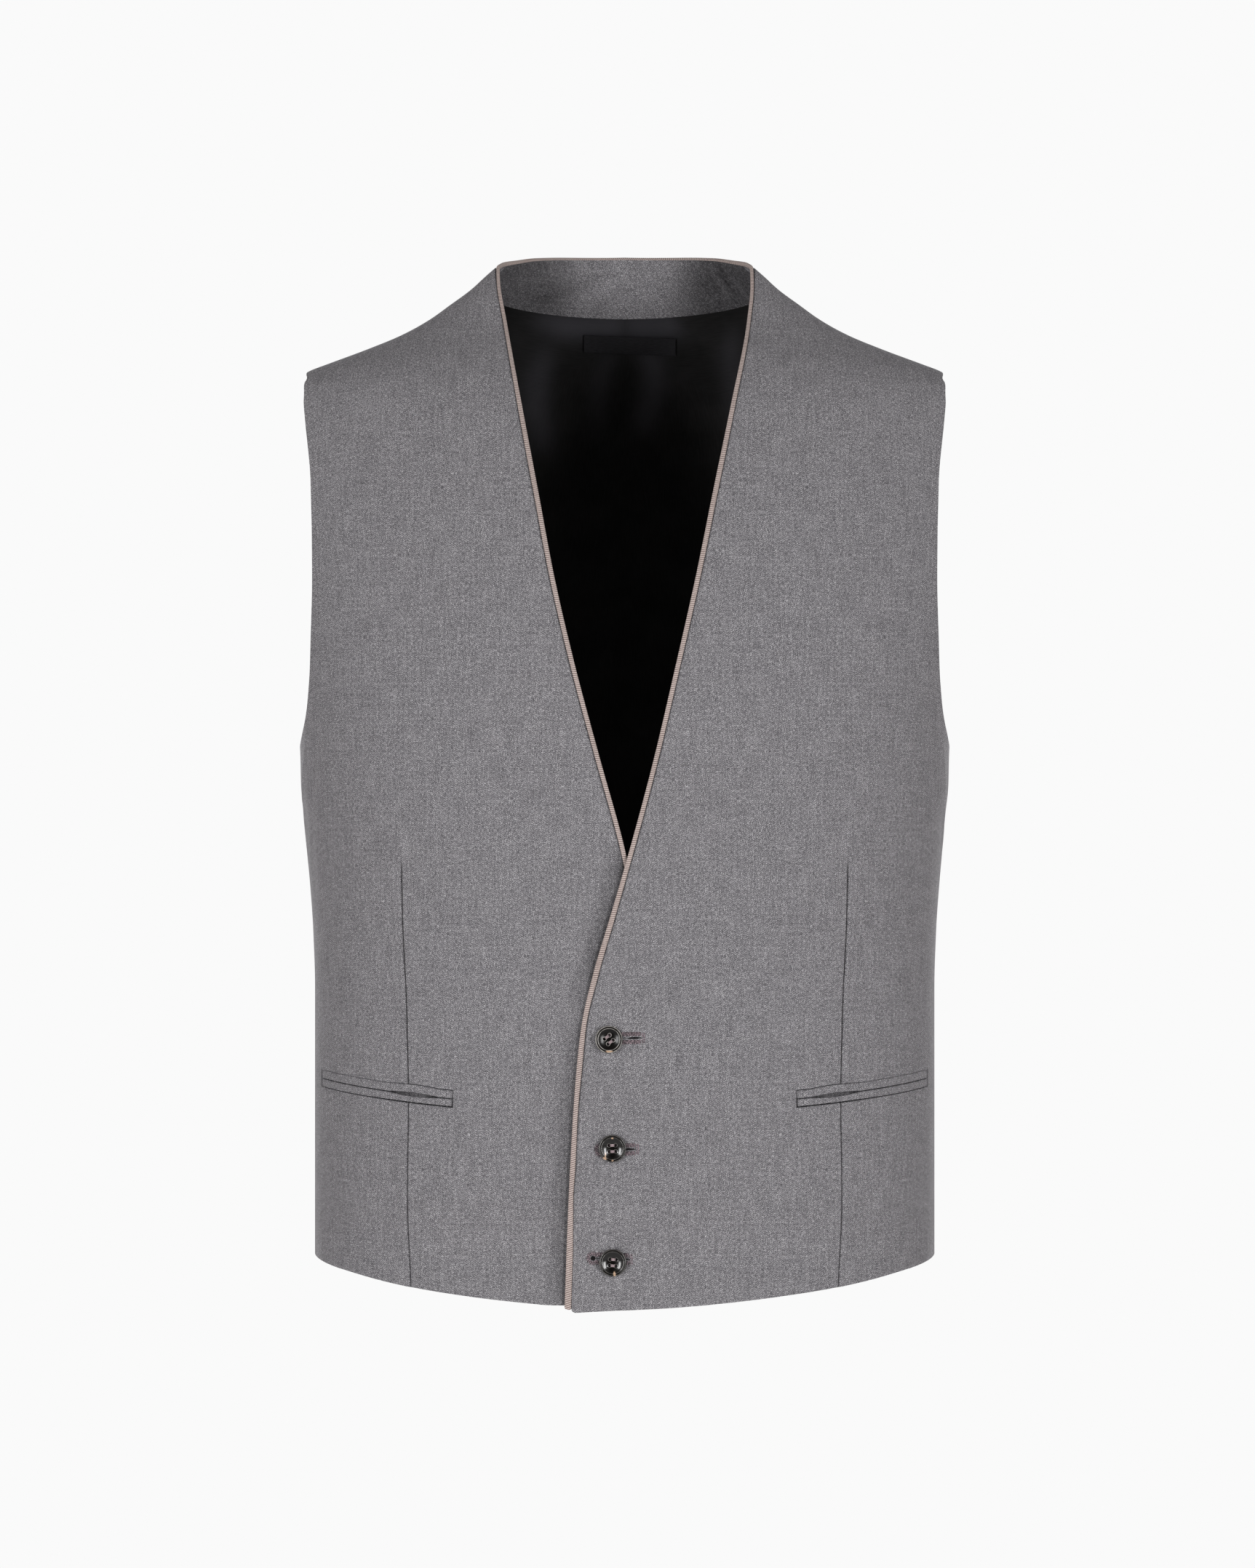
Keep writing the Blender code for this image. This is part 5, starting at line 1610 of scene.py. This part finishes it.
def black_lining():
    """Black twill lining: thin, dull satin that hardly answers the light inside the body. Its colour
    follows the twill, is painted paler over the crease noise as a painted sheen, and is painted
    paler still in soft gleams behind the neck, painted highlights read from the seam mark."""
    made = _, tree, _ = new_material(
        "black_twill_lining", Roughness=0.42, Specular_IOR_Level=0.12, Sheen_Weight=0.02
    )
    place = add(tree, "TexCoord")["Object"]
    cloth = add(tree, "UVMap", uv_map="cloth_mm")[0]
    twill = stretched_noise(tree, cloth, 0.8, 8.0, 1.0, 0.5, math.radians(30))
    creases = stretched_noise(tree, place, 0.02, 0.03, 2.0, 0.5)
    # painted sheen: the crease noise makes the colour paler in soft patches
    tone = weighted_sum(tree, 0.4, ((twill, 0.8), (creases, 1.2)))
    ends = {6: linear("#131313"), 7: linear("#272627")}
    black = add(tree, "Mix", {0: tone, **ends}, data_type="RGBA")[2]
    # painted highlights: the seam mark's gleams
    gleam = add(tree, "Attribute", attribute_name="seam")["Fac"]
    return two_toned(made, gleam, black, "#4b4a50", creases, 0.3, 0.0006)


def black_damask():
    """Black polyester label weave, a little flatter and duller than the lining round it."""
    made = _, tree, _ = new_material("black_label_weave", Roughness=0.6, Specular_IOR_Level=0.12)
    cloth = add(tree, "UVMap", uv_map="cloth_mm")[0]
    across = stretched_noise(tree, cloth, 3.0, 0.5, 1.0, 0.5)
    return two_toned(made, across, "#1b1b1d", "#2e2d30", across, 0.4, 0.0002)


def taupe_ribbon():
    """Taupe petersham: a ribbon whose thick weft stands up in ribs across its length."""
    made = _, tree, _ = new_material(
        "taupe_petersham_ribbon",
        Roughness=0.62,
        Specular_IOR_Level=0.3,
        Sheen_Weight=0.12,
        Sheen_Roughness=0.4,
    )
    cloth = add(tree, "UVMap", uv_map="cloth_mm")[0]
    ribs = bands(tree, cloth, RIB_SLANT, RIB_PITCH, 0.3, 1.5, "X")
    uneven = stretched_noise(tree, cloth, 2.2, 1.2)
    broad = stretched_noise(tree, cloth, 30.0, 30.0, 1.0, 0.5)
    tone = weighted_sum(tree, 0.52, ((ribs, 0.85), (uneven, 0.5), (broad, 0.25)))
    return two_toned(made, tone, "#6a5a56", "#d8c8c2", ribs, 0.7, 0.0003)


# Where pale horn shows through each button: across and up from its middle in mm, its reach, and
# how much it is drawn in across and up.
HORN_FLECKS = (
    ((0.3, -6.4, 2.3, 1, 2.6),),
    (
        (-4.3, -5.6, 1.5, 1, 1.2),
        (-3.8, -3.6, 1.3, 2.6, 0.8),
        (0, 5.7, 1, 1.2, 1.8),
        (0.1, -6.7, 0.9, 1.4, 1.8),
    ),
    ((0.8, -6.3, 1.7, 1.9, 0.9),),
)
# How strongly pale rings of painted highlight mark each button's rim and holes, how deep its
# shine is and how rough it is.
HORN_HIGHLIGHT_AND_SHINE = ((1.6, 0.3, 0.2), (0.45, 0.55, 0.14), (0.45, 0.55, 0.14))
# The two ridges of the rim and the edges of the holes, where the painted highlights lie: radius
# and half-width in mm.
HIGHLIGHT_RINGS = ((7.3, 0.3), (6.1, 0.26), (1.08, 0.18))


def strongest(tree, outputs):
    """The largest of several outputs."""
    first, *others = outputs
    for other in others:
        first = add(tree, "Math", {0: first, 1: other}, operation="MAXIMUM")[0]
    return first


def horn_fleck(tree, face, ragged, across, up, reach, narrow, low):
    """One at a pale spot of horn, fading to zero at its ragged edge."""
    placed = add(tree, "VectorMath", {0: face, 1: (across, up, 0.0)}, operation="SUBTRACT")
    drawn = {0: placed[0], 1: (narrow, low, 1.0)}
    drawn = add(tree, "VectorMath", drawn, operation="MULTIPLY")[0]
    offset = add(tree, "VectorMath", {0: drawn}, operation="LENGTH")["Value"]
    away = add(tree, "Math", {0: offset, 1: ragged}, operation="ADD")[0]
    fade = dict(enumerate((away, reach, reach * 0.45, 0.0, 1.0)))
    return add(tree, "MapRange", fade, interpolation_type="SMOOTHSTEP")[0]


def painted_highlight_ring(tree, distance, radius, half):
    """One on a ring of this radius, fading to zero a half-width to each side of it."""
    from_ring = add(tree, "Math", {0: distance, 1: radius}, operation="SUBTRACT")[0]
    away = add(tree, "Math", {0: from_ring}, operation="ABSOLUTE")[0]
    return add(tree, "MapRange", dict(enumerate((away, half, 0.0, 0.0, 1.0))))[0]


def dark_horn(name, flecks, highlight_and_shine):
    """Polished black buffalo horn with amber flecks in its rim: a hard, glossy shell. Pale rings of
    painted highlight lie on its rim's ridges and its holes' edges, patchy round them.
    """
    highlight_strength, shine, roughness = highlight_and_shine
    made = _, tree, shader = new_material(
        "black_buffalo_horn_" + name, IOR=1.54, Specular_IOR_Level=shine
    )
    face = add(tree, "UVMap", uv_map="cloth_mm")[0]
    streaks = stretched_noise(tree, face, 1.4, 5.0, 3.0, 0.6, 0.6)
    ends = {6: linear("#030303"), 7: linear("#120f0d")}
    body = add(tree, "Mix", {0: streaks, **ends}, data_type="RGBA")[2]
    fibres = stretched_noise(tree, face, 0.5, 0.5, 2.0, 0.7)
    ragged = add(tree, "Math", {0: fibres, 1: 2.6, 2: -1.3}, operation="MULTIPLY_ADD")[0]
    pale = strongest(tree, [horn_fleck(tree, face, ragged, *fleck) for fleck in flecks])
    amber = {0: pale, 6: body, 7: linear("#c4a68c")}
    coloured = add(tree, "Mix", amber, data_type="RGBA")[2]
    turned = add(tree, "UVMap", uv_map="button_mm")[0]
    from_middle = add(tree, "VectorMath", {0: turned}, operation="LENGTH")["Value"]
    folded = add(tree, "VectorMath", {0: turned}, operation="ABSOLUTE")[0]
    hole = (BUTTON_HOLE_OFFSET, BUTTON_HOLE_OFFSET, 0.0)
    from_hole = add(tree, "VectorMath", {0: folded, 1: hole}, operation="DISTANCE")["Value"]
    middles = (from_middle, from_middle, from_hole)
    # painted highlights on the rim's ridges and the holes' edges, patchy round the button
    rings = [painted_highlight_ring(tree, middle, *ring) for middle, ring in zip(middles, HIGHLIGHT_RINGS)]
    patchy = stretched_noise(tree, face, 3.0, 3.0, 1.0, 0.5)
    patches = {0: patchy, 1: 2.0 * highlight_strength, 2: -0.4 * highlight_strength}
    uneven = add(tree, "Math", patches, operation="MULTIPLY_ADD")[0]
    ring_highlights = {0: strongest(tree, rings), 1: uneven}
    amount = add(tree, "Math", ring_highlights, operation="MULTIPLY", use_clamp=True)[0]
    worn = add(tree, "Math", {0: streaks, 1: 0.06, 2: roughness}, operation="MULTIPLY_ADD")[0]
    tree.links.new(worn, shader.inputs["Roughness"])
    return two_toned(made, amount, coloured, "#b5b1ac")


def spun(name, grain, contrast, darkest, palest, **shader_values):
    """A plain material of fine fibres. grain has their width, length, detail and roughness."""
    made = _, tree, _ = new_material(name, **shader_values)
    tone = stretched_noise(tree, add(tree, "TexCoord")["Object"], *grain)
    if contrast != 1:
        tone = weighted_sum(tree, 0.5, ((tone, contrast),))
    return two_toned(made, tone, darkest, palest)


def silk_twist(name, darkest, palest):
    """Mauve-grey silk twist: each stitch is a twisted thread with a soft, uneven shine."""
    sheen = {"Roughness": 0.55, "Specular_IOR_Level": 0.35, "Sheen_Weight": 0.1}
    return spun(name, (0.0006, 0.0005, 1.0, 0.7), 3.2, darkest, palest, **sheen)


def button_twist():
    """The pale mauve thread that sews the buttons on."""
    sheen = {"Roughness": 0.6, "Specular_IOR_Level": 0.3, "Sheen_Weight": 0.1}
    grain = (0.0005, 0.0005, 1.0, 0.6)
    return spun("pale_button_thread", grain, 1, "#7e6c72", "#c8b6b8", **sheen)


def slit_shadow():
    """A near-black sheet of painted shadow over a buttonhole's cut and eye."""
    matt = {"Roughness": 0.9, "Specular_IOR_Level": 0.1}
    return spun("buttonhole_slit_painted_shadow", (0.0005, 0.0005, 1.0, 0.6), 1, "#0c0c0d", "#232123", **matt)


def floor_paper():
    """Pale, matt background paper."""
    matt = {"Roughness": 0.9, "Specular_IOR_Level": 0.2}
    return spun("pale_floor_paper", (0.01, 0.01, 2.0, 0.5), 1, "#f3f3f3", "#f7f7f7", **matt)


# ---------------------------------------------------------------- camera, light and floor

CAMERA_PLACE = (0.0016, -3.0, -0.2953)
CAMERA_LENS = 119.3
FLOOR_LEVEL = -0.95  # metres; the waistcoat hangs above it as it does on a wearer
FLOOR_RADIUS = 1.15
ROOM_FRONT = 0.35
ROOM_BACK = 0.66
ROOM_ROOF = 0.3
SOFTBOX_POWER = 45.5
BACK_POWER = 22.0


def camera():
    data = bpy.data.cameras.new("camera")
    data.lens = CAMERA_LENS
    data.sensor_width = 36.0
    data.dof.use_dof = False
    made = bpy.data.objects.new("camera", data)
    made.location = CAMERA_PLACE
    made.rotation_euler = (math.radians(90), 0, 0)
    bpy.context.scene.collection.objects.link(made)
    bpy.context.scene.camera = made


def soft_light(name, place, target, size, power):
    """A large white light that faces the target."""
    data = bpy.data.lights.new(name, "AREA")
    data.shape = "RECTANGLE"
    data.size, data.size_y = size
    data.energy = power
    made = bpy.data.objects.new(name, data)
    made.location = place
    facing = (Vector(target) - Vector(place)).to_track_quat("-Z", "Y")
    made.rotation_euler = facing.to_euler()
    bpy.context.scene.collection.objects.link(made)


def studio():
    """A white room: soft boxes left and right in front, a paler glow from behind, a dimmer roof
    and an unlit space round the camera."""
    scene = bpy.context.scene
    scene.view_settings.view_transform = "Standard"
    scene.view_settings.look = "None"
    world = bpy.data.worlds.new("white_room")
    scene.world = world
    world.use_nodes = True
    tree = world.node_tree
    tree.nodes.clear()
    direction = add(tree, "TexCoord")["Generated"]
    parts = add(tree, "SeparateXYZ", {"Vector": direction})
    squeezed = {0: direction, 1: (2.7, 1.0, 1.35), 2: (0.0, 1.0, 0.0)}
    squeezed = add(tree, "VectorMath", squeezed, operation="MULTIPLY_ADD")[0]
    from_camera = add(tree, "VectorMath", {0: squeezed}, operation="LENGTH")["Value"]
    strength = 1.0
    for values in (  # a value, the range it is taken over and the share of light at its two ends
        (parts["Y"], -0.6, 0.5, ROOM_FRONT, ROOM_BACK),
        (parts["Z"], 0.1, 0.9, 1.0, ROOM_ROOF),
        (from_camera, 0.75, 1.1, 0.08, 1.0),
    ):
        share = add(tree, "MapRange", dict(enumerate(values)))[0]
        strength = add(tree, "Math", {0: share, 1: strength}, operation="MULTIPLY")[0]
    lit = add(tree, "Background", {"Color": linear("#fffaf7"), "Strength": strength})
    seen = add(tree, "Background", {"Color": linear("#fafafa"), "Strength": 1.0})
    ray = add(tree, "LightPath")["Is Camera Ray"]
    mixed = add(tree, "MixShader", {0: ray, 1: lit[0], 2: seen[0]})[0]
    add(tree, "OutputWorld", {"Surface": mixed}, is_active_output=True)
    middle = (0.0, 0.0, -0.3)
    for side, name in ((-1, "left"), (1, "right")):
        soft_light(name + "_softbox", (1.75 * side, -2.6, -0.2), middle, (0.6, 1.6), SOFTBOX_POWER)
        soft_light(name + "_back_softbox", (1.3 * side, 2.8, 0.1), middle, (0.5, 1.6), BACK_POWER)


def floor():
    bm = bmesh.new()
    bmesh.ops.create_circle(bm, cap_ends=True, segments=96, radius=FLOOR_RADIUS / MM)
    bmesh.ops.translate(bm, vec=(0, 0, FLOOR_LEVEL / MM), verts=bm.verts)
    finished("floor", bm, [floor_paper()])


# ---------------------------------------------------------------- the waistcoat


def build():
    camera()
    studio()
    floor()
    worsted, satin, lining = grey_worsted(), black_satin(), black_lining()
    ribbon, twist, slit = taupe_ribbon(), button_twist(), slit_shadow()
    silk = silk_twist("mauve_silk_twist", "#211a1d", "#b7a2aa")
    # a darker copy of the silk: painted shade between the stitches
    gimp = silk_twist("silk_gimp_painted_shade", "#2e2a2e", "#544c50")
    for name in ("left_front", "right_front"):
        front(name, worsted, lining)
        pocket_jets(name, worsted)
        front_piping(name, ribbon)
    back_pieces(back_grid(), satin, lining)
    neck_band(worsted)
    neck_piping(ribbon)
    label(black_damask())
    for number, (across, level) in enumerate(BUTTON_PLACES, start=1):
        marks, highlight_and_shine = HORN_FLECKS[number - 1], HORN_HIGHLIGHT_AND_SHINE[number - 1]
        horn = dark_horn("button_%d" % number, marks, highlight_and_shine)
        button(number, across, level, horn, twist)
    for number, (left, right, left_level, right_level) in enumerate(BUTTONHOLES, start=1):
        buttonhole(number, left, right, left_level, right_level, silk, gimp, slit)


build()
